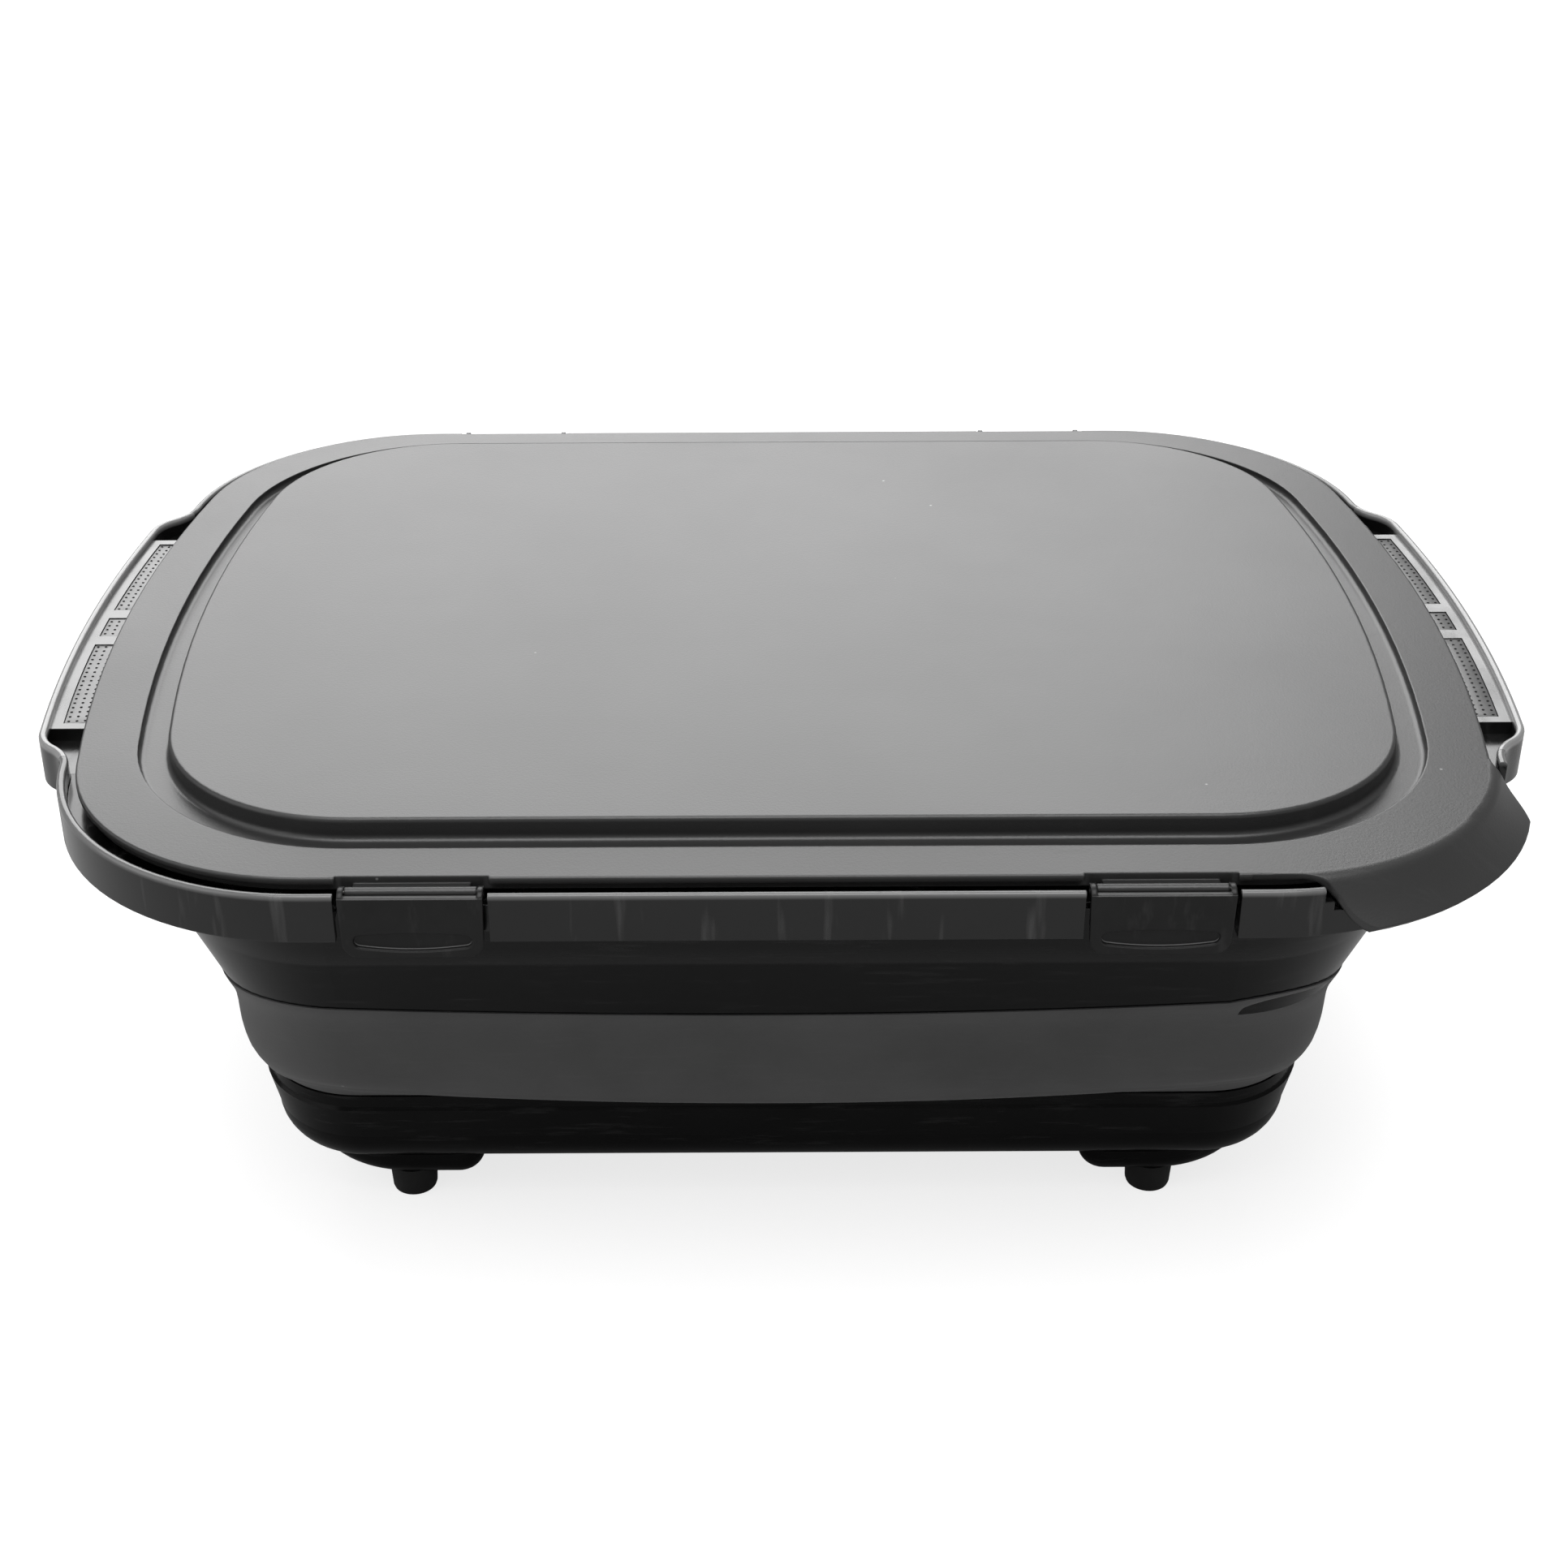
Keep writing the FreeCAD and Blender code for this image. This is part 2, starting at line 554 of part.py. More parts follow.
def spout_cut(side, share_past_root, first_turn):
    """The field in plan that is trimmed off one side of the pouring corner, leaving an S-shaped edge.

    It goes on past the root by a share of the angle from the root to the tip.
    """
    root, tip = "spout_root_" + side, "spout_tip_" + side
    half_way = "(%s + %s) / 2" % (root, tip)
    past_root = "%s + (%s - %s) * %s" % (root, root, tip, share_past_root)
    tip_radius = "corner_radius + spout_reach + %s" % LOFT_OVERLAP
    clear_radius = "corner_radius + 2 * spout_reach"
    start = polar("corner_radius", root)
    middle = polar("corner_radius + spout_reach / 2", half_way)
    stop = polar(tip_radius, tip)
    return [
        start + ("spout_neck_" + side, first_turn),
        middle + ("spout_shoulder_" + side, -first_turn),
        stop,
        polar(clear_radius, tip),
        polar(clear_radius, past_root),
        polar("corner_radius", past_root),
    ]


def add_spout(body):
    """Bend the lid's edge down over the rim at the front right corner and trim it to a pouring lip."""
    corner = ("-corner_y", "0", "corner_x")
    inside = "-(corner_radius - lid_undercut - 2 * spout_wall)"
    straight = "-(corner_radius - spout_inset)"
    lean = "(spout_slope * 1deg)"
    tip_lean = "(spout_tip_slope * 1deg)"
    tip = "-(corner_radius + spout_reach)"
    tip_level = "lid_top - spout_drop"
    bent = "%s - %s * sin" + lean
    bent_level = "lid_top - spout_roll + %s * cos" + lean
    under_roll = "(spout_roll - spout_wall)"
    profile = path_sketch(body, "spout_section", "YZ_Plane", [[
        (inside, "lid_top"),
        (straight, "lid_top", "spout_roll", LEFT_TURN),
        (bent % (straight, "spout_roll"), bent_level % "spout_roll", "spout_flare", RIGHT_TURN),
        (tip, tip_level),
        (tip + " + spout_wall * sin" + tip_lean, tip_level + " - spout_wall * cos" + tip_lean,
         "spout_flare + spout_wall", LEFT_TURN),
        (bent % (straight, under_roll), bent_level % under_roll, "spout_roll - spout_wall", RIGHT_TURN),
        (straight, "lid_top - spout_wall"),
        (inside, "lid_top - spout_wall"),
    ]], corner)
    roll = body.newObject("PartDesign::Revolution", "spout_bend")
    roll.Profile = profile
    roll.ReferenceAxis = (profile, ["V_Axis"])
    roll.setExpression("Angle", bound("(90 - spout_root_end) * 1deg"))
    doc.recompute()
    loops = {"front": spout_cut("front", "0.5", RIGHT_TURN), "end": spout_cut("end", "0.2", LEFT_TURN)}
    for side, loop in loops.items():
        above = ("corner_x", "-corner_y", "lid_top + lid_flange")
        trim = path_sketch(body, "spout_trim_" + side, "XY_Plane", [loop], above)
        pocket(body, trim, "lid_flange + 2 * spout_drop")


def make_lid():
    body = new_body("lid_board")
    edge = outline_sketch(body, "lid_edge", LID_OUTLINE, "0", "lid_top - lid_lip")
    pad(body, edge, "lid_lip")
    edge_top = value("lid_top")
    fillet(body, "lid_edge_rounding", "lid_edge_round", lambda line: at_level(line, edge_top))
    under = outline_sketch(body, "lid_step", LID_OUTLINE, "-lid_undercut", "lid_under")
    pad(body, under, "lid_flange - lid_lip")
    slope_foot = outline_sketch(body, "slope_foot", LID_OUTLINE, "-lid_edge_round", "lid_top")
    slope_head = outline_sketch(body, "slope_head", BOARD_OUTLINE, "groove_width", "lid_top + flange_rise")
    slope = body.newObject("PartDesign::AdditiveLoft", "flange_slope")
    slope.Profile = slope_foot
    slope.Sections = [slope_head]
    slope.Ruled = True
    doc.recompute()
    board = outline_sketch(body, "board_edge", BOARD_OUTLINE, "0", "lid_top")
    pad(body, board, "board_rise")
    board_top = value("board_top")
    fillet(body, "board_rounding", "board_round", lambda line: at_level(line, board_top))

    floor = "lid_top - groove_depth"
    wall = "-(board_width / 2)"
    outer = "-(board_width / 2 + groove_width)"
    groove = path_sketch(body, "groove_section", "YZ_Plane", [[
        (wall, "lid_top + flange_rise + groove_depth"),
        (outer, "lid_top + flange_rise + groove_depth"),
        (outer, floor + " + groove_round", "groove_round", LEFT_TURN),
        (outer + " + groove_round", floor),
        (wall + " - groove_round", floor, "groove_round", LEFT_TURN),
        (wall, floor + " + groove_round"),
    ]])
    sweep(body, board, groove, "Subtractive")
    hollow = outline_sketch(body, "board_hollow", BOARD_OUTLINE, "-board_wall", "lid_under")
    pocket(body, hollow, "board_top - board_wall - lid_under", upward=True)

    spine = outline_sketch(body, "plug_path", LID_OUTLINE, "0", "lid_under")
    plug = ring_profile(body, "plug_section", [
        ("-plug_inset", "lid_under + %s" % LOFT_OVERLAP),
        ("-plug_inset", "plug_foot + ledge_height"),
        ("-plug_inset + ledge_reach", "plug_foot + ledge_height"),
        ("-plug_inset + ledge_reach", "plug_foot"),
        ("-plug_inset - plug_wall", "plug_foot"),
        ("-plug_inset - plug_wall", "lid_under + %s" % LOFT_OVERLAP),
    ])
    sweep(body, spine, plug)
    rest = ring_profile(body, "rest_section", [
        ("-rest_inset", "lid_under + %s" % LOFT_OVERLAP),
        ("-rest_inset", "web_top"),
        ("-rest_inset - rest_wall", "web_top"),
        ("-rest_inset - rest_wall", "lid_under + %s" % LOFT_OVERLAP),
    ])
    sweep(body, spine, rest)
    add_spout(body)

    edge_y = "lid_width / 2"
    notches = at_latches("notch_length / 2", edge_y + " - notch_depth", edge_y + " + notch_depth")
    pocket(body, path_sketch(body, "latch_notches", "XY_Plane", notches, ("0", "0", "lid_top + lid_lip")),
           "2 * lid_flange")
    lugs = at_latches("lug_length / 2", edge_y + " - notch_depth - lug_root", "hinge_y")
    lug_level = ("0", "0", "hinge_level - lug_thick / 2")
    pad(body, path_sketch(body, "latch_lugs", "XY_Plane", lugs, lug_level), "lug_thick")
    for hand, sign in HANDS.items():
        shift = ("0", "0", "%d * latch_x" % sign)
        rounds = [(place, "hinge_level", "barrel_diameter / 2") for place in ("-hinge_y", "hinge_y")]
        barrels = circle_sketch(body, "barrels_" + hand, "YZ_Plane", rounds, shift)
        pad(body, barrels, "barrel_length", midplane=True)
        bore = "pin_diameter / 2 + pin_clearance"
        holes = [(place, "hinge_level", bore) for place in ("-hinge_y", "hinge_y")]
        bores = circle_sketch(body, "bores_" + hand, "YZ_Plane", holes, shift)
        pocket(body, bores, "2 * barrel_length", midplane=True)
    return body


def make_gasket():
    body = new_body("lid_gasket")
    spine = outline_sketch(body, "gasket_path", LID_OUTLINE, "0", "plug_foot")
    inner = "-plug_inset"
    outer = "-collar_inset - tub_wall - gasket_clearance"
    foot = "plug_foot + ledge_height"
    section = ring_profile(body, "gasket_section", [
        (inner, foot),
        (inner, foot + " + gasket_height"),
        (outer, foot + " + gasket_height * 0.75"),
        (outer, foot + " + gasket_height * 0.5"),
        (inner + " + ledge_reach", foot + " + gasket_height * 0.25"),
        (inner + " + ledge_reach", foot),
    ])
    sweep(body, spine, section)
    return body


def make_latch(side, hand):
    """A snap latch about its hinge axis, as it hangs at the front; the rear ones are turned round."""
    body = new_body("latch_%s_%s" % (side, hand))
    section = path_sketch(body, "flap_section", "YZ_Plane", [[
        ("-flap_inside", "-latch_drop"),
        ("-flap_inside", "-ear_radius"),
        ("0", "-ear_radius", "ear_radius", LEFT_TURN),
        ("ear_radius", "0", "ear_radius", LEFT_TURN),
        ("0", "ear_radius", "flap_outside", LEFT_TURN),
        ("-flap_outside", "flap_rise"),
        ("-flap_outside", "-latch_drop"),
    ]])
    pad(body, section, "latch_width", midplane=True)
    clear = "2 * flap_outside"
    opening = path_sketch(body, "barrel_opening", "YZ_Plane", [[
        (clear, "-flap_outside"),
        (clear, clear),
        ("-(%s)" % clear, clear),
        ("-(%s)" % clear, "flap_rise"),
        ("-flap_inside", "flap_rise"),
        ("-flap_inside", "-flap_outside"),
    ]])
    pocket(body, opening, "barrel_length + 2 * ear_gap", midplane=True)
    pin = circle_sketch(body, "pin_hole", "YZ_Plane", [("0", "0", "pin_diameter / 2")])
    pocket(body, pin, "2 * latch_width", midplane=True)
    bead_nose = "hinge_offset - catch_face - snap_clearance"
    bead = path_sketch(body, "snap_section", "YZ_Plane", [[
        ("-flap_inside - latch_thick / 2", "-snap_level - snap_height / 2"),
        (bead_nose, "-snap_level - snap_flat / 2"),
        (bead_nose, "-snap_level + snap_flat / 2"),
        ("-flap_inside - latch_thick / 2", "-snap_level + snap_height / 2"),
    ]])
    pad(body, bead, "snap_length", midplane=True)
    half = "latch_width / 2"
    trimmed = [
        (half, "-ear_radius"),
        (half + " - latch_taper", "-latch_drop"),
        (half + " - latch_taper", "-2 * latch_drop"),
        (half + " + latch_taper", "-2 * latch_drop"),
        (half + " + latch_taper", "-ear_radius"),
    ]
    taper = path_sketch(body, "flap_taper", "XZ_Plane", both_ends(trimmed))
    pocket(body, taper, "4 * flap_outside", midplane=True)
    foot = value("-latch_drop")

    def short_at_foot(edge):
        return at_level(edge, foot) and edge.BoundBox.XLength < TOUCH

    fillet(body, "flap_corners", "latch_corner", short_at_foot)

    near = "(thumb_width - thumb_end) / 2"
    tip = "thumb_end / 2 / sqrt(1 - (%s / thumb_belly) ^ 2)" % near
    low = "-latch_drop + thumb_margin"
    high = low + " + thumb_end"
    thumb = path_sketch(body, "finger_recess", "XZ_Plane", [[
        ("-(%s)" % near, low, "thumb_belly", LEFT_TURN),
        (near, low, tip, LEFT_TURN),
        (near, high, "thumb_crown", LEFT_TURN),
        ("-(%s)" % near, high, tip, LEFT_TURN),
    ]], ("0", "0", "flap_outside"))
    pocket(body, thumb, "thumb_depth")
    face = value("-flap_outside")
    reach = value("thumb_width / 2")

    def at_mouth(edge):
        box = edge.BoundBox
        on_face = abs(box.YMin - face) < TOUCH and abs(box.YMax - face) < TOUCH
        off_foot = box.ZMin > foot + TOUCH and box.ZMax < 0
        return on_face and off_foot and box.XMax < reach and box.XMin > -reach

    fillet(body, "recess_lip", "thumb_round", at_mouth)
    place_at_latch(body, side, hand)
    return body


def place_at_latch(item, side, hand):
    """Put a piece that is made about the hinge axis at its latch."""
    half_turn = 180 if side == "rear" else 0
    item.Placement = FreeCAD.Placement(FreeCAD.Vector(), FreeCAD.Rotation(FreeCAD.Vector(0, 0, 1), half_turn))
    item.setExpression("Placement.Base.x", bound("%d * latch_x" % HANDS[hand]))
    item.setExpression("Placement.Base.y", bound("%d * hinge_y" % SIDES[side]))
    item.setExpression("Placement.Base.z", bound("hinge_level"))


def make_pin(side, hand):
    body = new_body("latch_pin_%s_%s" % (side, hand))
    section = circle_sketch(body, "pin_section", "YZ_Plane", [("0", "0", "pin_diameter / 2")])
    pad(body, section, "latch_width - 2 * pin_inset", midplane=True)
    place_at_latch(body, side, hand)
    return body


def grip_spans():
    """The three grips of a handle, from the front to the rear, each with its two ends."""
    return {
        "front": ("-grip_long_end", "-grip_long_start"),
        "middle": ("-grip_middle / 2", "grip_middle / 2"),
        "rear": ("grip_long_start", "grip_long_end"),
    }


def start_rim(label):
    """The whole rim: the floor of its channel, and its skirt with the lip and the handles' outline."""
    body = new_body(label)
    mid_skirt = "rim_overhang - rim_wall / 2"
    web = outline_sketch(body, "channel_floor", LID_OUTLINE, mid_skirt, "web_foot", with_handle=True)
    pad(body, web, "tub_wall")
    mouth = outline_sketch(body, "tub_mouth", LID_OUTLINE, "-collar_inset - tub_wall", "web_top + tub_wall")
    pocket(body, mouth, "3 * tub_wall")
    rim_path = outline_sketch(body, "rim_path", LID_OUTLINE, "rim_overhang", "skirt_foot", with_handle=True)
    inner = "rim_overhang - rim_wall"
    skirt = ring_profile(body, "skirt_section", [
        ("rim_overhang", "skirt_foot"),
        (inner, "skirt_foot"),
        (inner, "rim_top - rim_round", "rim_round", RIGHT_TURN),
        (inner + " + rim_round", "rim_top"),
        ("rim_overhang - rim_round", "rim_top", "rim_round", RIGHT_TURN),
        ("rim_overhang", "rim_top - rim_round"),
    ])
    sweep(body, rim_path, skirt)
    return body


def cut_away(body, name, loops):
    """Take away all of a rim that lies inside some fields in plan."""
    trim = path_sketch(body, name, "XY_Plane", loops, ("0", "0", "rim_top + rim_wall"))
    pocket(body, trim, "skirt_height + 2 * rim_wall")


def add_spout_gap(body):
    """Lower the rim's lip, in two steps, where the lid's pouring corner bends down over it."""
    inner = "corner_radius + rim_overhang - rim_wall - spout_gap_inset"
    outer = "corner_radius + rim_overhang + spout_gap_inset"
    steps = (("spout_gap_shallow", "spout_gap_front", "spout_gap_step"),
             ("spout_gap_full", "spout_gap_deep", "spout_gap_depth"))
    for name, front, depth in steps:
        gap = path_sketch(body, name, "XY_Plane", [[
            polar(inner, front) + (inner, LEFT_TURN),
            polar(inner, "spout_gap_end"),
            polar(outer, "spout_gap_end") + (outer, RIGHT_TURN),
            polar(outer, front),
        ]], ("corner_x", "-corner_y", "rim_top + rim_wall"))
        pocket(body, gap, "rim_wall + " + depth)


def make_rim(side):
    """The rim along one long side, from handle to handle, with its two latch pockets."""
    body = start_rim("rim_" + side)
    edge_y = "lid_width / 2 + "
    near, far = edge_y + "pocket_wall - rim_wall", edge_y + "rim_overhang - rim_wall / 2"
    walls = at_latches("pocket_length / 2 + rim_wall", near, far)
    foot = ("0", "0", "skirt_foot")
    pad(body, path_sketch(body, "pocket_walls", "XY_Plane", walls, foot), "web_top - skirt_foot")
    cut_away(body, "latch_pockets",
             at_latches("pocket_length / 2", edge_y + "pocket_wall", edge_y + "2 * rim_overhang"))
    catches = at_latches("snap_length / 2", edge_y + "pocket_wall - rim_wall / 2", edge_y + "catch_face")
    level = ("0", "0", "hinge_level - snap_level + snap_height / 2 + catch_step")
    pad(body, path_sketch(body, "rim_catches", "XY_Plane", catches, level), "catch_height")
    if side == "front":
        add_spout_gap(body)
    beyond = "%d * lid_width" % -SIDES[side]
    line = "%d * handle_cut" % SIDES[side]
    low, high = (beyond, line) if side == "rear" else (line, beyond)
    cut_away(body, "other_side", [rectangle("-lid_length", "lid_length", low, high)])
    return body


def make_handle(hand):
    """The rim along one short end: a handle with its shelf, finger gap and grip recesses."""
    body = start_rim("handle_" + hand)
    shelf = end_sector("-shelf_inset", "handle_inside + rim_wall / 2", "-half_shelf", "half_shelf")
    pad(body, path_sketch(body, "handle_shelf", "XY_Plane", both_ends(shelf), ("0", "0", "web_foot")),
        "shelf_top - web_foot")
    half_gap = "half_shelf - shelf_wall"
    gap = end_sector("-shelf_inset + shelf_wall", "handle_inside", "-(%s)" % half_gap, half_gap)
    below = ("0", "0", "web_foot - tub_wall")
    pocket(body, path_sketch(body, "finger_gap", "XY_Plane", both_ends(gap), below),
           "shelf_top - shelf_wall - web_foot + tub_wall", upward=True)
    recesses = []
    for low, high in grip_spans().values():
        recesses += both_ends(end_sector("-grip_inset", "handle_inside - grip_margin", low, high))
    fields = path_sketch(body, "grip_recesses", "XY_Plane", recesses, ("0", "0", "shelf_top"))
    pocket(body, fields, "grip_depth")
    cut_away(body, "long_sides", [
        rectangle("-lid_length", "lid_length", "-lid_width", "-handle_cut"),
        rectangle("-lid_length", "lid_length", "handle_cut", "lid_width"),
    ])
    low, high = ("-lid_length", "0") if hand == "right" else ("0", "lid_length")
    cut_away(body, "other_end", [rectangle(low, high, "-lid_width", "lid_width")])
    return body


def make_wall():
    """The tub's stiff upper wall under the rim: an upright collar and a slope."""
    body = new_body("tub_wall")
    path = outline_sketch(body, "wall_path", LID_OUTLINE, "0", "slope_head")
    face = "-collar_inset"
    back = "-collar_inset - tub_wall"
    section = ring_profile(body, "wall_section", [
        (face, "web_foot"),
        (back, "web_foot"),
        (back, "slope_head"),
        ("-band_inset - band_wall", "slope_foot"),
        ("-band_inset", "slope_foot"),
        (face, "slope_head"),
    ])
    sweep(body, path, section)
    return body


def make_grip(hand, place, span):
    body = new_body("grip_%s_%s" % (hand, place))
    low = span[0] + " + grip_clearance"
    high = span[1] + " - grip_clearance"
    outer = "handle_inside - grip_margin - grip_clearance"
    loop = end_sector("-grip_inset + grip_clearance", outer, low, high)
    if hand == "left":
        loop = flipped(loop)
    floor = ("0", "0", "shelf_top - grip_depth")
    pad(body, path_sketch(body, "grip_field", "XY_Plane", [loop], floor), "grip_thick")
    return body


def make_band():
    body = new_body("fold_band")
    spine = outline_sketch(body, "band_path", LID_OUTLINE, "0", "band_foot")
    shoulder = "-band_inset - shoulder_inset"
    level = "band_head - shoulder_drop"
    section = ring_profile(body, "band_section", [
        ("-band_inset", "band_head"),
        ("-band_inset - band_wall", "band_head"),
        (shoulder + " - band_wall", level, "band_curve - band_wall", RIGHT_TURN),
        ("-band_inset + band_inner_foot", "band_foot"),
        ("-band_inset - band_taper", "band_foot", "band_curve", LEFT_TURN),
        (shoulder, level),
    ])
    sweep(body, spine, section)
    return body


def corner_loops(loop):
    """One loop for each corner of the tub, from the one at the rear right."""
    across = []
    for corner in loop:
        image = (corner[0], "-(%s)" % corner[1])
        if len(corner) == 4:
            image += (corner[2], -corner[3])
        across.append(image)
    return both_ends(loop) + both_ends(across)


def corner_pad():
    """A pad's outline at the rear right corner."""
    bend = "pad_corner"
    return [
        ("pad_start_x + " + bend, "pad_start_y"),
        ("pad_far_x - " + bend, "pad_start_y", bend, LEFT_TURN),
        ("pad_far_x", "pad_start_y + " + bend),
        ("pad_far_x", "pad_far_y - pad_sweep", "pad_sweep", LEFT_TURN),
        ("pad_far_x - pad_sweep", "pad_far_y"),
        ("pad_start_x + " + bend, "pad_far_y", bend, LEFT_TURN),
        ("pad_start_x", "pad_far_y - " + bend),
        ("pad_start_x", "pad_start_y + " + bend, bend, LEFT_TURN),
    ]


def make_base():
    body = new_body("base_pan")
    spine = outline_sketch(body, "base_path", LID_OUTLINE, "0", "base_level")
    foot = "-base_inset - base_draft"
    section = ring_profile(body, "pan_section", [
        ("-base_inset - neck_depth", "band_foot"),
        ("-base_inset - neck_depth - base_wall", "band_foot"),
        (foot + " - base_wall", "base_level + base_round", "base_round - base_wall", RIGHT_TURN),
        (foot + " - base_round", "base_level + base_wall"),
        (foot + " - base_round - base_wall", "base_level + base_wall"),
        (foot + " - base_round - base_wall", "base_level"),
        (foot + " - base_round", "base_level", "base_round", LEFT_TURN),
        (foot, "base_level + base_round"),
        ("-base_inset", "band_foot - neck_height - neck_depth"),
        ("-base_inset - neck_depth", "band_foot - neck_height"),
    ])
    sweep(body, spine, section)
    floor_edge = foot + " - base_round - base_wall / 2"
    floor = outline_sketch(body, "pan_floor", LID_OUTLINE, floor_edge, "base_level")
    pad(body, floor, "base_wall")
    pads = path_sketch(body, "corner_pads", "XY_Plane", corner_loops(corner_pad()), ("0", "0", "pad_level"))
    pad(body, pads, "pad_drop + base_wall / 2")
    level = value("pad_level")
    fillet(body, "pad_edges", "pad_round", lambda edge: at_level(edge, level))
    inner = corner_loops([
        ("pad_start_x + base_wall", "pad_start_y + base_wall"),
        ("foot_x + boss_diameter / 2", "pad_start_y + base_wall"),
        ("foot_x + boss_diameter / 2", "foot_y - boss_diameter / 2"),
        ("pad_start_x + base_wall", "foot_y - boss_diameter / 2"),
    ])
    wells = path_sketch(body, "pad_wells", "XY_Plane", inner, ("0", "0", "base_level + 2 * base_wall"))
    pocket(body, wells, "pad_drop + base_wall")
    places = [("%d * foot_x" % hand, "%d * foot_y" % side, "stem_diameter / 2")
              for hand in HANDS.values() for side in SIDES.values()]
    sockets = circle_sketch(body, "foot_sockets", "XY_Plane", places, ("0", "0", "pad_level"))
    pocket(body, sockets, "stem_length", upward=True)
    return body


def make_foot(side, hand):
    body = new_body("foot_%s_%s" % (side, hand))
    section = path_sketch(body, "foot_section", "XZ_Plane", [[
        ("0", "0"),
        ("foot_bottom / 2 - foot_round", "0", "foot_round", LEFT_TURN),
        ("foot_bottom / 2", "foot_round"),
        ("foot_top / 2", "foot_height"),
        ("stem_diameter / 2", "foot_height"),
        ("stem_diameter / 2", "foot_height + stem_length"),
        ("0", "foot_height + stem_length"),
    ]])
    turn = body.newObject("PartDesign::Revolution", "foot_turn")
    turn.Profile = section
    turn.ReferenceAxis = (section, ["V_Axis"])
    turn.Angle = 360
    doc.recompute()
    body.setExpression("Placement.Base.x", bound("%d * foot_x" % HANDS[hand]))
    body.setExpression("Placement.Base.y", bound("%d * foot_y" % SIDES[side]))
    return body


def check(pieces):
    """Stop if anything failed to build or a piece is not one sound solid."""
    doc.recompute()
    for item in doc.Objects:
        if "Invalid" in item.State or "Error" in item.State:
            raise RuntimeError("%s failed: %s" % (item.Name, item.State))
    for piece in pieces:
        shape = piece.Shape
        if shape.isNull() or not shape.isValid() or len(shape.Solids) != 1:
            raise RuntimeError("%s is not one sound solid" % piece.Label)


def main():
    fill_sheet()
    pieces = [make_lid(), make_gasket(), make_wall(), make_band(), make_base()]
    for side in SIDES:
        pieces.append(make_rim(side))
        for hand in HANDS:
            pieces += [make_latch(side, hand), make_pin(side, hand), make_foot(side, hand)]
    for hand in HANDS:
        pieces.append(make_handle(hand))
        for place, span in grip_spans().items():
            pieces.append(make_grip(hand, place, span))
    check(pieces)
    os.makedirs("parts", exist_ok=True)
    for piece in pieces:
        piece.Shape.exportStep("parts/%s.step" % piece.Label)
        print("%-24s %10.1f mm3" % (piece.Label, piece.Shape.Volume))


main()
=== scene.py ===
import logging
import math
from dataclasses import dataclass, field
from enum import Enum

import bmesh
import bpy
from mathutils import Matrix, Vector


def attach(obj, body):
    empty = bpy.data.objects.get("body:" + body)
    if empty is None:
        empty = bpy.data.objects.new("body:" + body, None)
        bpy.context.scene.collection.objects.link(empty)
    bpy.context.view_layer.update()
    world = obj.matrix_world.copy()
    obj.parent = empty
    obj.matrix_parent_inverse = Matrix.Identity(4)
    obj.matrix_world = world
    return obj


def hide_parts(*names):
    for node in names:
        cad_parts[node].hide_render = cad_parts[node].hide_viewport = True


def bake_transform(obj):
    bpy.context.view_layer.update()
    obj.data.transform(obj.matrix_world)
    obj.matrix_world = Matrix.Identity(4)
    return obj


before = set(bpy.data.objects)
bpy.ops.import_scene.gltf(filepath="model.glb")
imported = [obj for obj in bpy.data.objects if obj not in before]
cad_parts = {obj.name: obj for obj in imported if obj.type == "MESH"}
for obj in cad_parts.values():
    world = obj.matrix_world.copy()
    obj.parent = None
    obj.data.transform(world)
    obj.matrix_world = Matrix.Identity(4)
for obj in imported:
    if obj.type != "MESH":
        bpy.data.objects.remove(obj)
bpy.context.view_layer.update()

LOG = logging.getLogger("food_prep_tub")
MM = 0.001
# Points of a mesh in millimetres that are closer than this are one point.
MERGE = 0.001
# The Mix node's sockets for colours, which share their names with its other sockets.
MIX_SHARE, MIX_FIRST, MIX_SECOND, MIX_COLOUR = 0, 6, 7, 2
# A point of a section: how far beyond the lid's edge, how high, and the rounding there, in millimetres.
SectionPoint = tuple[float, float, float]
# A point of a profile: how far out and how high, in millimetres.
ProfilePoint = tuple[float, float]


class Hand(Enum):
    """The two ends of the tub, with the sign of X there."""

    LEFT = -1
    RIGHT = 1


class Side(Enum):
    """The two long sides of the tub, with the sign of Y there."""

    FRONT = -1
    REAR = 1


def share_of(value: float, start: float, stop: float) -> float:
    """Give how far a value has come from a start to a stop, held between 0 and 1."""
    return min(max((value - start) / (stop - start), 0.0), 1.0)


def linear(hex_colour: str) -> tuple[float, float, float, float]:
    """Turn an sRGB hex colour into the linear values that a shader takes.

    Args:
        hex_colour: Six hex digits.

    Returns:
        Red, green, blue and an alpha of 1.
    """
    parts = [int(hex_colour[index:index + 2], 16) / 255 for index in (0, 2, 4)]
    values = [part / 12.92 if part <= 0.04045 else ((part + 0.055) / 1.055) ** 2.4 for part in parts]
    return (values[0], values[1], values[2], 1.0)


def add_node(tree: bpy.types.NodeTree, kind: str, settings: dict | None = None,
             links: dict | None = None) -> bpy.types.Node:
    """Add a node to a tree, set it up and link what feeds it.

    Args:
        tree: The node tree that gets the node.
        kind: The node's type name.
        settings: Values for the node's own properties or, by name or number, its input sockets.
        links: Output sockets that feed the node's inputs, by the input's name or number.

    Returns:
        The new node.
    """
    node = tree.nodes.new(kind)
    for name, setting in (settings or {}).items():
        if isinstance(name, str) and hasattr(node, name):
            setattr(node, name, setting)
        else:
            node.inputs[name].default_value = setting
    for name, output in (links or {}).items():
        tree.links.new(output, node.inputs[name])
    return node


